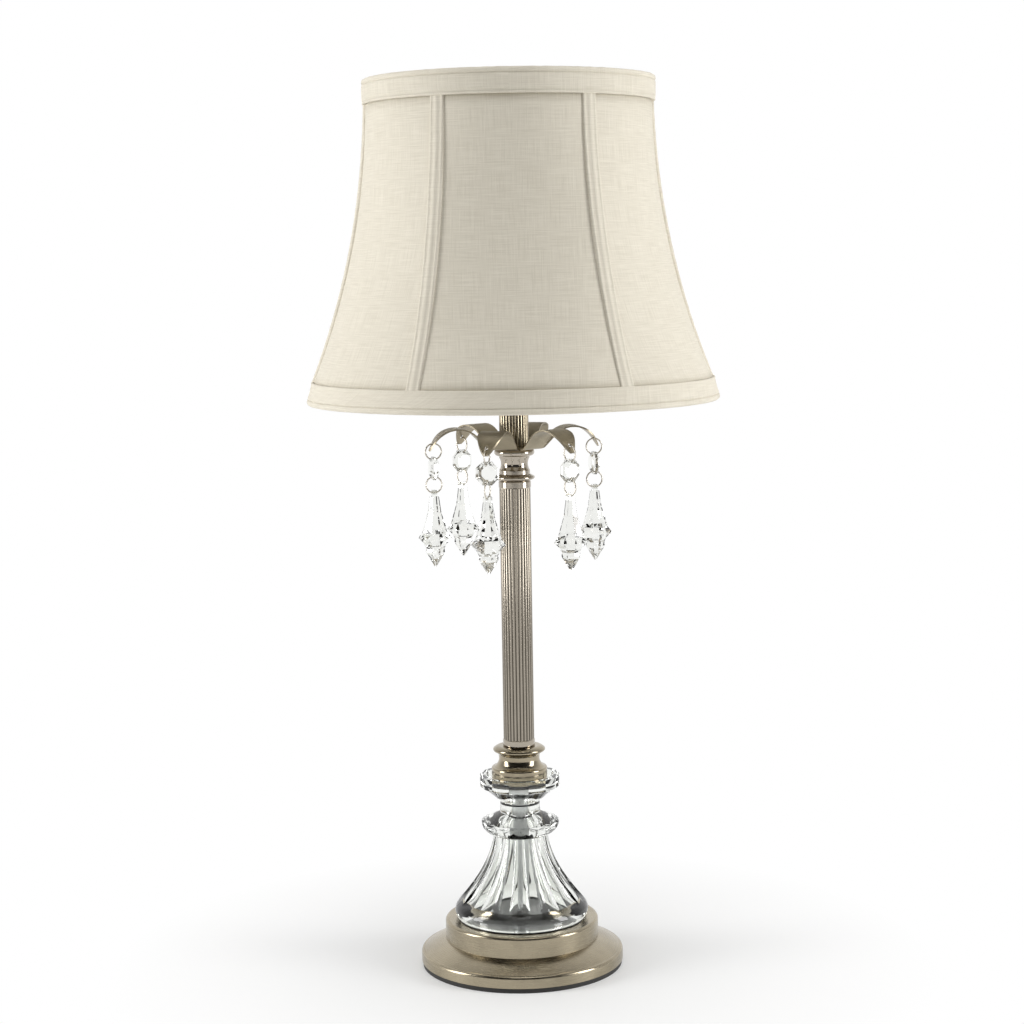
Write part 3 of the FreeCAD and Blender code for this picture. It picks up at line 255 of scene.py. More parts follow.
def linen_weave_group():
    """Plain weave with slubs, on a UV map laid out in metres. The low gaps between threads are painted darker
    and the raised threads lighter, as painted shade; the slubs' darker threads are random tone.
    """
    group, given, sink = start_group(
        "Linen weave",
        [("Thread", COLOUR, None), ("Gap", COLOUR, None), ("Pitch", FLOAT, 0.6 * MM), ("Slubs", FLOAT, 0.5)],
        [("Colour", COLOUR), ("Height", FLOAT)])
    place = add(group, "ShaderNodeUVMap", uv_map="cloth").outputs[0]
    split = add(group, "ShaderNodeSeparateXYZ", {0: place}).outputs
    across_slub = stretched_noise(group, place, (55.0, 1500.0, 1.0))
    along_slub = stretched_noise(group, place, (1500.0, 55.0, 1.0))
    wander = stretched_noise(group, place, (260.0, 260.0, 1.0))
    waves = []
    for axis, slub in ((split[0], along_slub), (split[1], across_slub)):
        turns = calculate(group, "DIVIDE", axis, given["Pitch"])
        shifted = calculate(group, "ADD", turns, calculate(group, "MULTIPLY", wander, 1.6))
        wave = calculate(group, "SINE", calculate(group, "MULTIPLY", shifted, 2 * math.pi))
        waves.append(calculate(group, "MULTIPLY_ADD", wave, 0.25, 0.5))
    weave = calculate(group, "MULTIPLY", waves[0], waves[1])
    slubs = calculate(group, "MAXIMUM", rescale(group, across_slub, 0.52, 0.70, 0.0, 1.0),
                      rescale(group, along_slub, 0.54, 0.72, 0.0, 1.0))
    dark = calculate(group, "MAXIMUM", rescale(group, across_slub, 0.47, 0.33, 0.0, 0.8),
                     rescale(group, along_slub, 0.46, 0.32, 0.0, 0.8))
    raised = calculate(group, "MULTIPLY_ADD", slubs, given["Slubs"], weave)
    # Painted shade: the colour goes from the gap colour in the low parts of the weave to the thread colour on
    # the raised threads.
    shade = calculate(group, "SUBTRACT", rescale(group, raised, 0.0, 0.7, 0.35, 1.0),
                      calculate(group, "MULTIPLY", dark, given["Slubs"]))
    colour = blend_colours(group, shade, given["Gap"], given["Thread"])
    return close_group(group, sink, colour=colour, height=raised)


def brushed_metal_group():
    """Fine brushing and soft blotches on metal that was turned about Z."""
    group, given, sink = start_group(
        "Brushed metal",
        [("Base", COLOUR, None), ("Dark", COLOUR, None), ("Lines", FLOAT, 1800.0), ("Along", FLOAT, 8.0),
         ("Blotch", FLOAT, 0.3), ("Smooth", FLOAT, 0.18), ("Rough", FLOAT, 0.34)],
        [("Colour", COLOUR), ("Roughness", FLOAT), ("Height", FLOAT)])
    place = add(group, "ShaderNodeTexCoord").outputs["Object"]
    split = add(group, "ShaderNodeSeparateXYZ", {0: place}).outputs
    radius = calculate(group, "POWER", calculate(
        group, "ADD", calculate(group, "MULTIPLY", split[0], split[0]),
        calculate(group, "MULTIPLY", split[1], split[1])), 0.5)
    turn = calculate(group, "ARCTAN2", split[1], split[0])
    around = calculate(group, "MULTIPLY", turn, given["Along"])
    outwards = calculate(group, "MULTIPLY", calculate(group, "ADD", radius, split[2]), given["Lines"])
    upwards = calculate(group, "MULTIPLY", calculate(group, "SUBTRACT", split[2], radius), given["Lines"])
    lines = add(group, "ShaderNodeCombineXYZ", {0: around, 1: outwards, 2: upwards}).outputs[0]
    brushing = add(group, "ShaderNodeTexNoise", {
        "Vector": lines, "Scale": 1.0, "Detail": 3.0}).outputs["Fac"]
    blotches = add(group, "ShaderNodeTexNoise", {
        "Vector": place, "Scale": 42.0, "Detail": 4.0}).outputs["Fac"]
    mark = calculate(group, "MULTIPLY", rescale(group, blotches, 0.42, 0.68, 0.0, 1.0), given["Blotch"])
    mark = calculate(group, "ADD", mark, rescale(group, brushing, 0.35, 0.7, 0.12, -0.12))
    colour = blend_colours(group, mark, given["Base"], given["Dark"])
    roughness = rescale(group, brushing, 0.3, 0.7, given["Smooth"], given["Rough"])
    return close_group(group, sink, colour=colour, roughness=roughness, height=brushing)


def reed_shadow_group():
    """Mask for painted shade: 1 in the valleys between the reeds of a turned piece and 0 on their crests."""
    group, given, sink = start_group(
        "Reed shadow", [("Valley", FLOAT, 0.009), ("Crest", FLOAT, 0.0095)], [("Mask", FLOAT)])
    place = add(group, "ShaderNodeTexCoord").outputs["Object"]
    flat = add(group, "ShaderNodeVectorMath", {0: place, 1: (1, 1, 0)}, operation="MULTIPLY").outputs[0]
    radius = add(group, "ShaderNodeVectorMath", {0: flat}, operation="LENGTH").outputs["Value"]
    mask = rescale(group, radius, given["Valley"], given["Crest"], 1.0, 0.0)
    return close_group(group, sink, mask=mask)


def worn_surface_group():
    """Small scale mottling and pores for plastics, castings, ceramic and rubber."""
    group, given, sink = start_group(
        "Moulded surface",
        [("Base", COLOUR, None), ("Fleck", COLOUR, None), ("Grain", FLOAT, 900.0), ("Amount", FLOAT, 0.4),
         ("Smooth", FLOAT, 0.3), ("Rough", FLOAT, 0.5)],
        [("Colour", COLOUR), ("Roughness", FLOAT), ("Height", FLOAT)])
    place = add(group, "ShaderNodeTexCoord").outputs["Object"]
    grain = add(group, "ShaderNodeTexNoise", {"Vector": place, "Scale": given["Grain"], "Detail": 3.0})
    cloud = add(group, "ShaderNodeTexNoise", {"Vector": place, "Scale": 60.0, "Detail": 3.0}).outputs["Fac"]
    amount = calculate(group, "MULTIPLY", rescale(group, cloud, 0.35, 0.7, 0.0, 1.0), given["Amount"])
    colour = blend_colours(group, amount, given["Base"], given["Fleck"])
    roughness = rescale(group, cloud, 0.3, 0.7, given["Smooth"], given["Rough"])
    return close_group(group, sink, colour=colour, roughness=roughness, height=grain.outputs["Fac"])


# Materials

def start_material(name):
    """New node material, its tree and its Principled shader."""
    material = bpy.data.materials.new(name)
    material.use_nodes = True
    tree = material.node_tree
    shader = tree.nodes["Principled BSDF"]
    return material, tree, shader


def bump(tree, shader, height, strength, distance):
    """Joins a height to a shader's normal."""
    made = add(tree, "ShaderNodeBump", {"Height": height, "Strength": strength, "Distance": distance})
    tree.links.new(made.outputs[0], shader.inputs["Normal"])


def brushed_metal(name, group, base, dark, bump_strength=0.12, **values):
    """Metal with turned brushing."""
    material, tree, shader = start_material(name)
    outputs = use_group(tree, group, {"Base": rgba(base), "Dark": rgba(dark), **values})
    tree.links.new(outputs["Colour"], shader.inputs["Base Color"])
    tree.links.new(outputs["Roughness"], shader.inputs["Roughness"])
    bump(tree, shader, outputs["Height"], bump_strength, 0.00005)
    shader.inputs["Metallic"].default_value = 1.0
    return material


def shade_reeds(material, group, valley_shade, valley, crest):
    """Paints shade into the valleys between the reeds of a brushed metal, as painted shade."""
    tree = material.node_tree
    shader = tree.nodes["Principled BSDF"]
    plain = shader.inputs["Base Color"].links[0].from_socket
    mask = use_group(tree, group, {"Valley": valley, "Crest": crest})["Mask"]
    tree.links.new(blend_colours(tree, mask, plain, rgba(valley_shade)), shader.inputs["Base Color"])


def moulded(name, group, base, fleck, bump_strength=0.1, **values):
    """Plastic, rubber, ceramic, cast or enamelled surface."""
    material, tree, shader = start_material(name)
    outputs = use_group(tree, group, {"Base": rgba(base), "Fleck": rgba(fleck), **values})
    tree.links.new(outputs["Colour"], shader.inputs["Base Color"])
    tree.links.new(outputs["Roughness"], shader.inputs["Roughness"])
    bump(tree, shader, outputs["Height"], bump_strength, 0.0001)
    return material


def clear(name, tint, roughness, ior, ripple=0.0, ripple_scale=30.0, frost=0.0):
    """Glass that is coloured by its tint alone."""
    material, tree, shader = start_material(name)
    place = add(tree, "ShaderNodeTexCoord").outputs["Object"]
    cloud = add(tree, "ShaderNodeTexNoise", {"Vector": place, "Scale": ripple_scale, "Detail": 2.0})
    shade = blend_colours(tree, rescale(tree, cloud.outputs["Fac"], 0.3, 0.7, 0.0, 1.0), rgba(tint),
                          rgba([channel * 0.985 for channel in tint]))
    tree.links.new(shade, shader.inputs["Base Color"])
    tree.links.new(rescale(tree, cloud.outputs["Fac"], 0.3, 0.7, roughness, roughness + frost),
                   shader.inputs["Roughness"])
    if ripple:
        bump(tree, shader, cloud.outputs["Fac"], ripple, 0.0008)
    shader.inputs["IOR"].default_value = ior
    shader.inputs["Transmission Weight"].default_value = 1.0
    return material


def cloth(name, group, thread, gap, pitch, slubs, bump_strength, sheen=0.15):
    """Woven fabric on a UV map laid out in metres."""
    material, tree, shader = start_material(name)
    outputs = use_group(tree, group, {
        "Thread": rgba(thread), "Gap": rgba(gap), "Pitch": pitch, "Slubs": slubs})
    tree.links.new(outputs["Colour"], shader.inputs["Base Color"])
    bump(tree, shader, outputs["Height"], bump_strength, 0.0002)
    shader.inputs["Roughness"].default_value = 0.92
    shader.inputs["Specular IOR Level"].default_value = 0.15
    shader.inputs["Sheen Weight"].default_value = sheen
    return material


def dress(material, *nodes):
    """Gives a finish to CAD nodes."""
    for node in nodes:
        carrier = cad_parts[node]
        if carrier.material_slots:
            for slot in carrier.material_slots:
                slot.material = material
        else:
            carrier.data.materials.append(material)


def darker(colour, share):
    """A colour times a share."""
    return [channel * share for channel in colour]


def drop_nodes(*kinds):
    """Names of the CAD nodes of some kinds in every drop."""
    return [f"drop_{number}_{kind}" for number in DROP_NUMBERS for kind in kinds]


# Fabric

def polar(radius, azimuth, height):
    """Point on a circle about the lamp's axis."""
    return Vector((radius * math.sin(azimuth), -radius * math.cos(azimuth), height))


def new_piece(name, vertices, faces, material):
    """Mesh object in the scene with one finish."""
    mesh = bpy.data.meshes.new(name)
    mesh.from_pydata(vertices, [], faces)
    mesh.validate()
    mesh.update()
    mesh.polygons.foreach_set("use_smooth", [True] * len(mesh.polygons))
    mesh.materials.append(material)
    piece = bpy.data.objects.new(name, mesh)
    bpy.context.scene.collection.objects.link(piece)
    return piece


def grid_faces(rows, columns, closed=False):
    """Faces of a grid of vertices laid out row by row, closed round its columns or open."""
    faces = []
    for row in range(rows - 1):
        for column in range(columns if closed else columns - 1):
            right = (column + 1) % columns
            faces.append((row * columns + column, row * columns + right,
                          (row + 1) * columns + right, (row + 1) * columns + column))
    return faces


def lay_out_cloth(piece, place):
    """UV map in metres from a place (u, v) for each vertex."""
    layer = piece.data.uv_layers.new(name="cloth")
    for loop in piece.data.loops:
        layer.data[loop.index].uv = place[loop.vertex_index]


def thicken(piece, thickness):
    """Gives a sheet its thickness, inwards."""
    solidify = piece.modifiers.new("Thickness", "SOLIDIFY")
    solidify.thickness = thickness
    solidify.offset = -1


def fabric_radius(sizes, height):
    """Radius of the fabric at a seam: an arc that bows inwards between its foot and its top."""
    low, high = Vector((sizes.foot_radius, FABRIC_FOOT)), Vector((sizes.top_radius, FABRIC_TOP))
    chord = high - low
    half = chord.length / 2
    arc_radius = (half * half + sizes.bow ** 2) / (2 * sizes.bow)
    outwards = Vector((-chord.y, chord.x)).normalized() * -1
    centre = (low + high) / 2 + outwards * (arc_radius - sizes.bow)
    return centre.x - math.sqrt(arc_radius ** 2 - (height - centre.y) ** 2)


def ripple(seed, count, reach):
    """A gentle repeating wobble round the lamp, from -1 to 1."""
    random = Random(seed)
    waves = [(random.randint(3, count * reach), random.uniform(0, 2 * math.pi), random.uniform(0.3, 1.0))
             for _ in range(count)]
    total = sum(weight for _, _, weight in waves)
    return lambda azimuth: sum(weight * math.sin(turns * azimuth + start)
                               for turns, start, weight in waves) / total


def panel_point(sizes, share, azimuth_share, height):
    """Point of a panel drawn about azimuth 0, and its distance round from the middle."""
    half = math.pi / PANEL_COUNT
    flat = 1 - sizes.panel_flatness * math.sin(math.pi * share)
    seam = fabric_radius(sizes, height)
    shift = seam * (1 - flat * flat) / (2 * (math.cos(half) - flat)) if flat < 0.9999 else 0.0
    radius = seam * flat - shift
    reach = math.asin(seam * math.sin(half) / radius)
    angle = reach * azimuth_share
    place = Vector((radius * math.sin(angle), -(shift + radius * math.cos(angle)), height))
    return place, radius * angle


def fabric_panel(sizes, number, material):
    """One linen panel, taut between two seams and the bands."""
    rows, columns = 29, 25
    foot, top = FABRIC_FOOT, FABRIC_TOP
    middle = sizes.panel_azimuth + number * 2 * math.pi / PANEL_COUNT
    turn = Matrix.Rotation(middle, 3, "Z")
    random = Random(number)
    sway = [random.uniform(0, 2 * math.pi) for _ in range(4)]
    vertices, places = [], []
    for row in range(rows):
        share = row / (rows - 1)
        height = foot + (top - foot) * share
        for column in range(columns):
            across = column / (columns - 1) * 2 - 1
            place, along = panel_point(sizes, share, across, height)
            free = (1 - across ** 4) * math.sin(math.pi * share) ** 0.5
            slack = 0.18 * MM * free * (math.sin(7 * share + sway[0]) * math.sin(3 * across + sway[1])
                                        + math.sin(13 * share + sway[2] + 2 * across))
            edge = 0.10 * MM * across ** 8 * math.sin(46 * share + sway[3])
            outwards = Vector((place.x, place.y, 0)).normalized()
            vertices.append(turn @ (place + outwards * (slack + edge)))
            places.append((along + number * PANEL_STEP_ACROSS, height + number * PANEL_STEP_ALONG))
    panel = new_piece(f"linen_panel_{number + 1}", vertices, grid_faces(rows, columns), material)
    lay_out_cloth(panel, places)
    thicken(panel, sizes.fabric_thickness)
    return panel


def seam_strip(sizes, number, material):
    """Folded strip over a seam: turned-in edges, a soft crown and slight puckers at the stitches."""
    rows = 90
    profile = [(-0.5, -0.3), (-0.5, 0.35), (-0.47, 0.75), (-0.40, 0.92), (-0.33, 0.80), (-0.26, 0.62),
               (-0.12, 0.84), (0.0, 0.9), (0.12, 0.84), (0.26, 0.62), (0.33, 0.80), (0.40, 0.92),
               (0.47, 0.75), (0.5, 0.35), (0.5, -0.3)]
    foot, top = FABRIC_FOOT, FABRIC_TOP
    centre = sizes.panel_azimuth + (number + 0.5) * 2 * math.pi / PANEL_COUNT
    turn = Matrix.Rotation(centre, 3, "Z")
    random = Random(40 + number)
    start = [random.uniform(0, 2 * math.pi) for _ in range(3)]
    vertices, places = [], []
    for row in range(rows):
        share = row / (rows - 1)
        height = foot + (top - foot) * share
        radius = fabric_radius(sizes, height)
        swell = 0.6 + 0.4 * math.sin(row * 0.31 + start[1])
        pucker = sizes.pucker * math.sin(row * 1.35 + start[0]) * swell
        wander = 0.25 * MM * math.sin(5 * share + start[2])
        for across, rise in profile:
            side = across * sizes.seam_width + wander
            stitched = 1.0 if 0.2 < abs(across) < 0.3 else 0.35
            lift = rise * 1.7 * MM + pucker * stitched
            drop = abs(side) * math.tan(math.pi / PANEL_COUNT) * 0.28
            vertices.append(turn @ Vector((side, -(radius + lift - drop), height)))
            places.append((side + number * STRIP_STEP + STRIP_START, height))
    strip = new_piece(f"seam_strip_{number + 1}", vertices, grid_faces(rows, len(profile)), material)
    lay_out_cloth(strip, places)
    return strip


def band(sizes, name, profile, seed, material):
    """Hem round a wire ring: a profile of (radius, height, ripple share) carried round the lamp."""
    columns = 360
    wobble = ripple(seed, 14, 8)
    slow = ripple(seed + 1, 5, 1)
    vertices, places = [], []
    along = 0.0
    here = None
    for radius, height, free in profile:
        if here:
            along += math.hypot(radius - here[0], height - here[1])
        here = (radius, height)
        for column in range(columns + 1):
            azimuth = 2 * math.pi * column / columns
            pucker = sizes.pucker * free * (wobble(azimuth) + 0.5 * slow(azimuth))
            vertices.append(polar(radius + pucker, azimuth, height + pucker * 0.6))
            places.append((azimuth * radius + BAND_START, along))
    hem = new_piece(name, vertices, grid_faces(len(profile), columns + 1), material)
    lay_out_cloth(hem, places)
    return hem


def roll(centre_radius, centre_height, radius, start, end, steps, free):
    """Part of a rolled edge, in degrees from outwards towards upwards."""
    points = []
    for step in range(steps + 1):
        angle = math.radians(start + (end - start) * step / steps)
        points.append((centre_radius + radius * math.cos(angle),
                       centre_height + radius * math.sin(angle), free))
    return points


def bottom_profile(sizes):
    """Section of the bottom band: turned-in lip, face, crease and a roll round the wire, closed inside."""
    low, high = NODE_BOX["shade_bottom_band"]
    top = high.z + 0.3 * MM
    wide = high.x
    upper = sizes.foot_radius + 1.7 * MM
    rolled = sizes.roll_radius
    centre = (wide - rolled - 0.1 * MM, low.z + rolled)
    face = [(upper - 1.5 * MM, top - 0.2 * MM, 0.2), (upper - 0.3 * MM, top, 0.4),
            (upper + 0.1 * MM, top - 0.5 * MM, 0.5),
            (upper + 0.05 * MM, top - 1.6 * MM, 0.4), (upper + 0.5 * MM, top - 3.6 * MM, 0.4),
            (upper + 1.2 * MM, top - 6.4 * MM, 0.5), (wide - 0.7 * MM, centre[1] + 2.6 * MM, 0.8),
            (wide - 0.75 * MM, centre[1] + 2.0 * MM, 1.0), (wide - 1.5 * MM, centre[1] + 1.7 * MM, 1.0)]
    inside = [(centre[0] - rolled * 0.9, centre[1] + 1.2 * MM, 0.5), (upper - 1.6 * MM, top - 4.0 * MM, 0.3),
              (upper - 1.9 * MM, top - 3.6 * MM, 0.3), (upper - 1.5 * MM, top - 0.2 * MM, 0.2)]
    return face + roll(*centre, rolled, 55, -190, 12, 1.0) + inside


def top_profile(sizes):
    """Section of the top band: a double lip, face, crease and a roll round the wire, closed inside."""
    low, high = NODE_BOX["shade_top_band"]
    foot = low.z - 0.3 * MM
    wide = sizes.top_radius + 1.7 * MM
    rolled = sizes.roll_radius * 0.9
    centre = (wide - rolled + 0.5 * MM, high.z - rolled)
    face = [(wide - 1.6 * MM, foot + 0.2 * MM, 0.2), (wide - 0.3 * MM, foot, 0.5),
            (wide + 0.25 * MM, foot + 0.4 * MM, 0.6),
            (wide + 0.3 * MM, foot + 1.4 * MM, 0.5), (wide - 0.15 * MM, foot + 1.8 * MM, 0.6),
            (wide + 0.35 * MM, foot + 2.3 * MM, 0.5), (wide + 0.45 * MM, foot + 4.0 * MM, 0.5),
            (wide + 0.5 * MM, foot + 8.0 * MM, 0.5), (wide + 0.5 * MM, centre[1] - 2.6 * MM, 0.8),
            (wide + 0.35 * MM, centre[1] - 2.0 * MM, 1.0), (wide - 0.4 * MM, centre[1] - 1.6 * MM, 1.2)]
    inside = [(centre[0] - rolled * 0.9, centre[1] - 1.2 * MM, 0.6), (wide - 1.9 * MM, foot + 4.0 * MM, 0.3),
              (wide - 1.6 * MM, foot + 0.2 * MM, 0.2)]
    return face + roll(*centre, rolled, -55, 190, 12, 1.4) + inside


def lining_sheet(sizes, material):
    """Smooth lining inside the ribs, from band to band, drawn in a little between them."""
    rows, columns = 25, 180
    low, high = NODE_BOX["shade_lining"]
    vertices, places = [], []
    inset = 3.5 * MM
    for row in range(rows):
        share = row / (rows - 1)
        height = low.z + (high.z - low.z) * share
        for column in range(columns + 1):
            azimuth = 2 * math.pi * column / columns
            beside = math.cos((azimuth - sizes.panel_azimuth) * PANEL_COUNT) * 0.5 + 0.5
            drawn = 4.6 * MM * math.sin(math.pi * share) * (0.35 + 0.65 * beside)
            radius = fabric_radius(sizes, min(max(height, FABRIC_FOOT), FABRIC_TOP)) - inset - drawn
            vertices.append(polar(radius, azimuth, height))
            places.append((azimuth * radius + LINING_START, height))
    sheet = new_piece("lining_sheet", vertices, grid_faces(rows, columns + 1), material)
    lay_out_cloth(sheet, places)
    thicken(sheet, 0.4 * MM)
    return sheet


# Studio

def softbox(name, place, target, width, height, power):
    """Area lamp that faces a point."""
    lamp = bpy.data.lights.new(name, "AREA")
    lamp.shape = "RECTANGLE"
    lamp.size, lamp.size_y = width, height
    lamp.energy = power
    stand = bpy.data.objects.new(name, lamp)
    stand.location = place
    stand.rotation_euler = (Vector(target) - Vector(place)).to_track_quat("-Z", "Y").to_euler()
    bpy.context.scene.collection.objects.link(stand)


def background_ray(tree):
    """1 for a ray that sees the studio straight, in a mirror or through glass, else 0."""
    path = add(tree, "ShaderNodeLightPath").outputs
    seen = calculate(tree, "MAXIMUM", path["Is Camera Ray"], path["Is Transmission Ray"])
    return calculate(tree, "MAXIMUM", seen, path["Is Glossy Ray"])


def studio_world(fill):
    """White where the camera, glass or metal sees it, and a plain soft light otherwise."""
    world = bpy.data.worlds.new("Studio")
    bpy.context.scene.world = world
    world.use_nodes = True
    tree = world.node_tree
    tree.nodes.clear()
    path = add(tree, "ShaderNodeLightPath").outputs
    straight = calculate(tree, "MAXIMUM", path["Is Camera Ray"], path["Is Transmission Ray"])
    way = add(tree, "ShaderNodeTexCoord").outputs["Generated"]
    split = add(tree, "ShaderNodeSeparateXYZ", {0: way}).outputs
    ahead = rescale(tree, split[1], -0.2, 0.7, 0.03, 1.0)
    mirrored = calculate(tree, "MULTIPLY", path["Is Glossy Ray"], ahead)
    strength = calculate(tree, "MAXIMUM", straight, mirrored)
    diffuse = calculate(tree, "MULTIPLY", path["Is Diffuse Ray"], fill)
    total = calculate(tree, "MAXIMUM", strength, diffuse)
    ground = add(tree, "ShaderNodeBackground", {"Color": (1, 1, 1, 1), "Strength": total})
    add(tree, "ShaderNodeOutputWorld", {"Surface": ground.outputs[0]})


def studio_floor(name, half):
    """Pale floor that glows white to the camera, in mirrors and through glass: a quarter of the glow near the
    lamp, so its shadow is kept in part, and all of it beyond.
    """
    mesh = bpy.data.meshes.new(name)
    corners = [(-half, -half, 0), (half, -half, 0), (half, half, 0), (-half, half, 0)]
    mesh.from_pydata(corners, [], [(0, 1, 2, 3)])
    floor = bpy.data.objects.new(name, mesh)
    bpy.context.scene.collection.objects.link(floor)
    material, tree, shader = start_material("Floor paper")
    shader.inputs["Base Color"].default_value = (0.93, 0.93, 0.92, 1)
    shader.inputs["Roughness"].default_value = 0.6
    place = add(tree, "ShaderNodeTexCoord").outputs["Object"]
    reach = add(tree, "ShaderNodeVectorMath", {0: place}, operation="LENGTH").outputs["Value"]
    # Painted light: the floor's white glow rises from a quarter near the lamp to full strength 0.26 m out.
    far = rescale(tree, reach, 0.075, 0.26, 0.25, 1.0)
    glow = add(tree, "ShaderNodeEmission", {"Color": (1, 1, 1, 1), "Strength": 1.0})
    seen = calculate(tree, "MULTIPLY", background_ray(tree), far)
    mixed = add(tree, "ShaderNodeMixShader", {0: seen, 1: shader.outputs[0], 2: glow.outputs[0]})
    output = next(node for node in tree.nodes if node.type == "OUTPUT_MATERIAL")
    tree.links.new(mixed.outputs[0], output.inputs["Surface"])
    mesh.materials.append(material)


# Operators

class LAMP_OT_finish_metal(bpy.types.Operator):
    """Finish the base, stem, spray, links and lampholder metals"""

    bl_idname = "lamp.finish_metal"
    bl_label = "Metal"

    def execute(self, context):
        finish = context.scene.lamp_finish
        group = brushed_metal_group()
        antique, nickel = finish.antique_colour, finish.nickel_colour
        base = brushed_metal("Antique nickel, spun", group, antique, darker(antique, 0.45), Lines=2600.0,
                             Along=5.0, Blotch=0.35, Smooth=0.17, Rough=0.33)
        turned = brushed_metal("Antique nickel, turned", group, antique, darker(antique, 0.35), Lines=2200.0,
                               Along=4.0, Blotch=0.4, Smooth=0.10, Rough=0.24)
        leaves = brushed_metal("Antique nickel, bent sheet", group, darker(antique, 0.95),
                               darker(antique, 0.4), 0.2, Lines=1400.0, Along=90.0, Blotch=0.6,
                               Smooth=0.26, Rough=0.46)
        column = brushed_metal("Polished nickel", group, nickel, darker(nickel, 0.6), 0.04, Lines=900.0,
                               Along=3.0, Blotch=0.25, Smooth=0.07, Rough=0.16)
        cap = brushed_metal("Drawn nickel", group, darker(nickel, 0.9), darker(nickel, 0.5),
                            Smooth=0.2, Rough=0.32)
        brass = brushed_metal("Brass", group, (0.76, 0.58, 0.28), (0.42, 0.28, 0.12), Smooth=0.22, Rough=0.36)
        zinc = brushed_metal("Zinc plated steel", group, (0.62, 0.63, 0.64), (0.36, 0.36, 0.37), Blotch=0.5,
                             Smooth=0.25, Rough=0.42)
        wire = brushed_metal("Link wire", group, (0.66, 0.62, 0.55), (0.35, 0.31, 0.26), Lines=4000.0,
                             Smooth=0.12, Rough=0.25)
        bulb = brushed_metal("Bulb cap", group, (0.72, 0.72, 0.70), (0.4, 0.4, 0.39), Smooth=0.2, Rough=0.35)
        reeded = column.copy()
        reeded.name = "Polished nickel, reeded"
        sleeve = turned.copy()
        sleeve.name = "Antique nickel, reeded"
        shadow = reed_shadow_group()
        # Painted shade: near-black valley colours between the reeds of the column and of the sleeve.
        shade_reeds(reeded, shadow, (0.035, 0.028, 0.018), 9.2 * MM, 9.6 * MM)
        shade_reeds(sleeve, shadow, (0.04, 0.03, 0.02), 8.6 * MM, 8.96 * MM)
        dress(base, "base_shell")
        dress(turned, "coupling")
        dress(reeded, "column_tube")
        dress(sleeve, "neck_sleeve")
        dress(leaves, "leaf_spray")
        dress(column, "column_foot_ring", "column_top_ring", "capital", "spray_nut")
        dress(cap, "holder_cap")
        dress(brass, "screw_shell", "holder_contact", "holder_terminals")
        dress(zinc, "threaded_rod", "base_nut", "base_washer")
        dress(bulb, "bulb_cap", "bulb_contact")
        dress(wire, *drop_nodes("upper_link", "lower_link"))
        return {"FINISHED"}


class LAMP_OT_finish_moulded(bpy.types.Operator):
    """Finish the pad, the weight, the plastics, the ceramic core and the enamelled wires"""

    bl_idname = "lamp.finish_moulded"
    bl_label = "Mouldings"

    def execute(self, context):
        group = worn_surface_group()
        dress(moulded("Pad rubber", group, (0.025, 0.024, 0.023), (0.05, 0.048, 0.045),
                      Smooth=0.6, Rough=0.8),
              "base_pad")
        dress(moulded("Cast weight", group, (0.16, 0.155, 0.15), (0.26, 0.22, 0.18), 0.5,
                      Smooth=0.6, Rough=0.85),
              "base_weight")
        dress(moulded("Black plastic", group, (0.028, 0.027, 0.026), (0.05, 0.05, 0.05),
                      Smooth=0.3, Rough=0.45),
              "cord_inlet", "holder_skirt", "seat_ring", "clamp_ring", "switch_key")
        dress(moulded("Ceramic", group, (0.86, 0.85, 0.81), (0.78, 0.76, 0.7), Smooth=0.2, Rough=0.35),
              "holder_core")
        dress(moulded("White enamel", group, (0.84, 0.83, 0.80), (0.74, 0.72, 0.68), Smooth=0.3, Rough=0.45),
              "shade_fitter", "shade_top_ring", "shade_bottom_ring", "shade_ribs")
        return {"FINISHED"}


class LAMP_OT_finish_glass(bpy.types.Operator):
    """Finish the pressed glass, the clear gaskets, the bulb and the crystals"""

    bl_idname = "lamp.finish_glass"
    bl_label = "Glass"

    def execute(self, context):
        finish = context.scene.lamp_finish
        dress(clear("Pressed glass", finish.glass_colour, 0.02, 1.50, ripple=0.05, frost=0.03),
              "glass_bell", "glass_dish")
        dress(clear("Clear gasket", (0.85, 0.86, 0.84), 0.3, 1.45), "bell_gasket", "dish_gasket")
        dress(clear("Crystal", finish.crystal_colour, 0.0, 1.60), *drop_nodes("bead", "pendant"))
        frosted = clear("Frosted bulb", (0.97, 0.97, 0.95), 0.45, 1.45, frost=0.1)
        dress(frosted, "bulb_glass")
        return {"FINISHED"}


class LAMP_OT_sew_panels(bpy.types.Operator):
    """Stretch the six linen panels between the seams"""

    bl_idname = "lamp.sew_panels"
    bl_label = "Linen panels"

    def execute(self, context):
        sizes = context.scene.lamp_shade
        linen = cloth("Linen", linen_weave_group(), sizes.linen_colour, sizes.linen_shadow,
                      pitch=0.62 * MM, slubs=0.42, bump_strength=0.25)
        seams = [seam_strip(sizes, number, linen) for number in range(PANEL_COUNT)]
        for number in range(PANEL_COUNT):
            panel = fabric_panel(sizes, number, linen)
            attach(panel, "shade")
            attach(seams[number], "shade")
            if number == 0:
                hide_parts("shade_panels")
                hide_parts("shade_seams")
        return {"FINISHED"}


class LAMP_OT_sew_bands(bpy.types.Operator):
    """Fold the two hems round the wire rings"""

    bl_idname = "lamp.sew_bands"
    bl_label = "Bands"

    def execute(self, context):
        sizes = context.scene.lamp_shade
        linen = bpy.data.materials["Linen"]
        for name, profile, seed, node in (
                ("bottom_hem", bottom_profile(sizes), 5, "shade_bottom_band"),
                ("top_hem", top_profile(sizes), 11, "shade_top_band")):
            hem = band(sizes, name, profile, seed, linen)
            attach(hem, "shade")
            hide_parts(node)
        return {"FINISHED"}


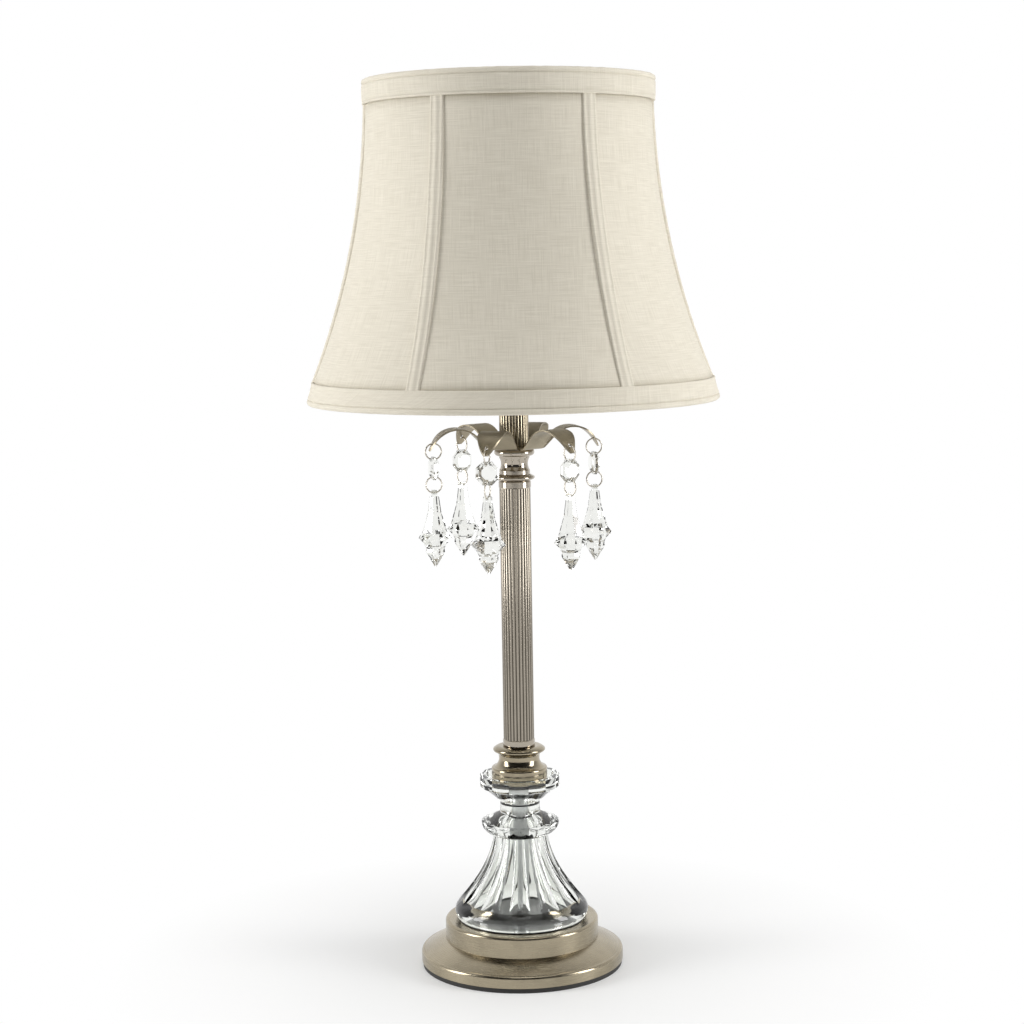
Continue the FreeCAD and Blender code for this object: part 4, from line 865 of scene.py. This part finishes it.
class LAMP_OT_hang_lining(bpy.types.Operator):
    """Stretch the smooth lining inside the wires"""

    bl_idname = "lamp.hang_lining"
    bl_label = "Lining"

    def execute(self, context):
        sizes = context.scene.lamp_shade
        weave = bpy.data.node_groups["Linen weave"]
        plain = cloth("Lining", weave, sizes.lining_colour, darker(sizes.lining_colour, 0.93),
                      pitch=0.4 * MM, slubs=0.12, bump_strength=0.08, sheen=0.3)
        sheet = lining_sheet(sizes, plain)
        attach(sheet, "shade")
        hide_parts("shade_lining")
        return {"FINISHED"}


class LAMP_OT_set_stage(bpy.types.Operator):
    """Set the floor, the softboxes, the white studio and the camera"""

    bl_idname = "lamp.set_stage"
    bl_label = "Studio"

    def execute(self, context):
        stage = context.scene.lamp_stage
        studio_world(stage.fill)
        studio_floor("floor", FLOOR_HALF_WIDTH)
        for name, place, width, height, share in SOFTBOXES:
            softbox(name, place, SOFTBOX_TARGET, width, height, stage.key * share)
        camera = bpy.data.objects.new("Camera", bpy.data.cameras.new("Camera"))
        camera.data.lens = stage.lens
        camera.data.sensor_width = 36.0
        camera.data.clip_start = 0.01
        upright = Matrix.Rotation(math.pi / 2 - stage.camera_pitch, 4, "X")
        rolled = Matrix.Rotation(stage.camera_roll, 4, "Z")
        place = Matrix.Translation((stage.camera_side, -stage.camera_distance, stage.camera_height))
        camera.matrix_world = place @ upright @ rolled
        context.scene.collection.objects.link(camera)
        context.scene.camera = camera
        context.scene.view_settings.view_transform = "Standard"
        return {"FINISHED"}


class LAMP_PT_lamp(bpy.types.Panel):
    """Sizes, finishes and steps of the lamp"""

    bl_label = "Candlestick lamp"
    bl_idname = "LAMP_PT_lamp"
    bl_space_type = "VIEW_3D"
    bl_region_type = "UI"
    bl_category = "Lamp"

    def draw(self, context):
        for settings in (context.scene.lamp_shade, context.scene.lamp_finish, context.scene.lamp_stage):
            box = self.layout.box()
            for name in settings.__annotations__:
                box.prop(settings, name)
        for step in STEPS:
            self.layout.operator(step.bl_idname)


SETTINGS = {"lamp_shade": ShadeSettings, "lamp_finish": FinishSettings, "lamp_stage": StageSettings}
STEPS = (LAMP_OT_finish_metal, LAMP_OT_finish_moulded, LAMP_OT_finish_glass, LAMP_OT_sew_panels,
         LAMP_OT_sew_bands, LAMP_OT_hang_lining, LAMP_OT_set_stage)


def register():
    """Adds the settings, the steps and the panel."""
    for made in (*SETTINGS.values(), *STEPS, LAMP_PT_lamp):
        bpy.utils.register_class(made)
    for name, made in SETTINGS.items():
        setattr(bpy.types.Scene, name, bpy.props.PointerProperty(type=made))


def unregister():
    """Takes them away again."""
    for name in SETTINGS:
        delattr(bpy.types.Scene, name)
    for made in reversed((*SETTINGS.values(), *STEPS, LAMP_PT_lamp)):
        bpy.utils.unregister_class(made)


def main():
    """Runs every step in order."""
    register()
    for step in STEPS:
        family, name = step.bl_idname.split(".")
        getattr(getattr(bpy.ops, family), name)()
    bpy.context.view_layer.update()


if __name__ == "__main__":
    main()
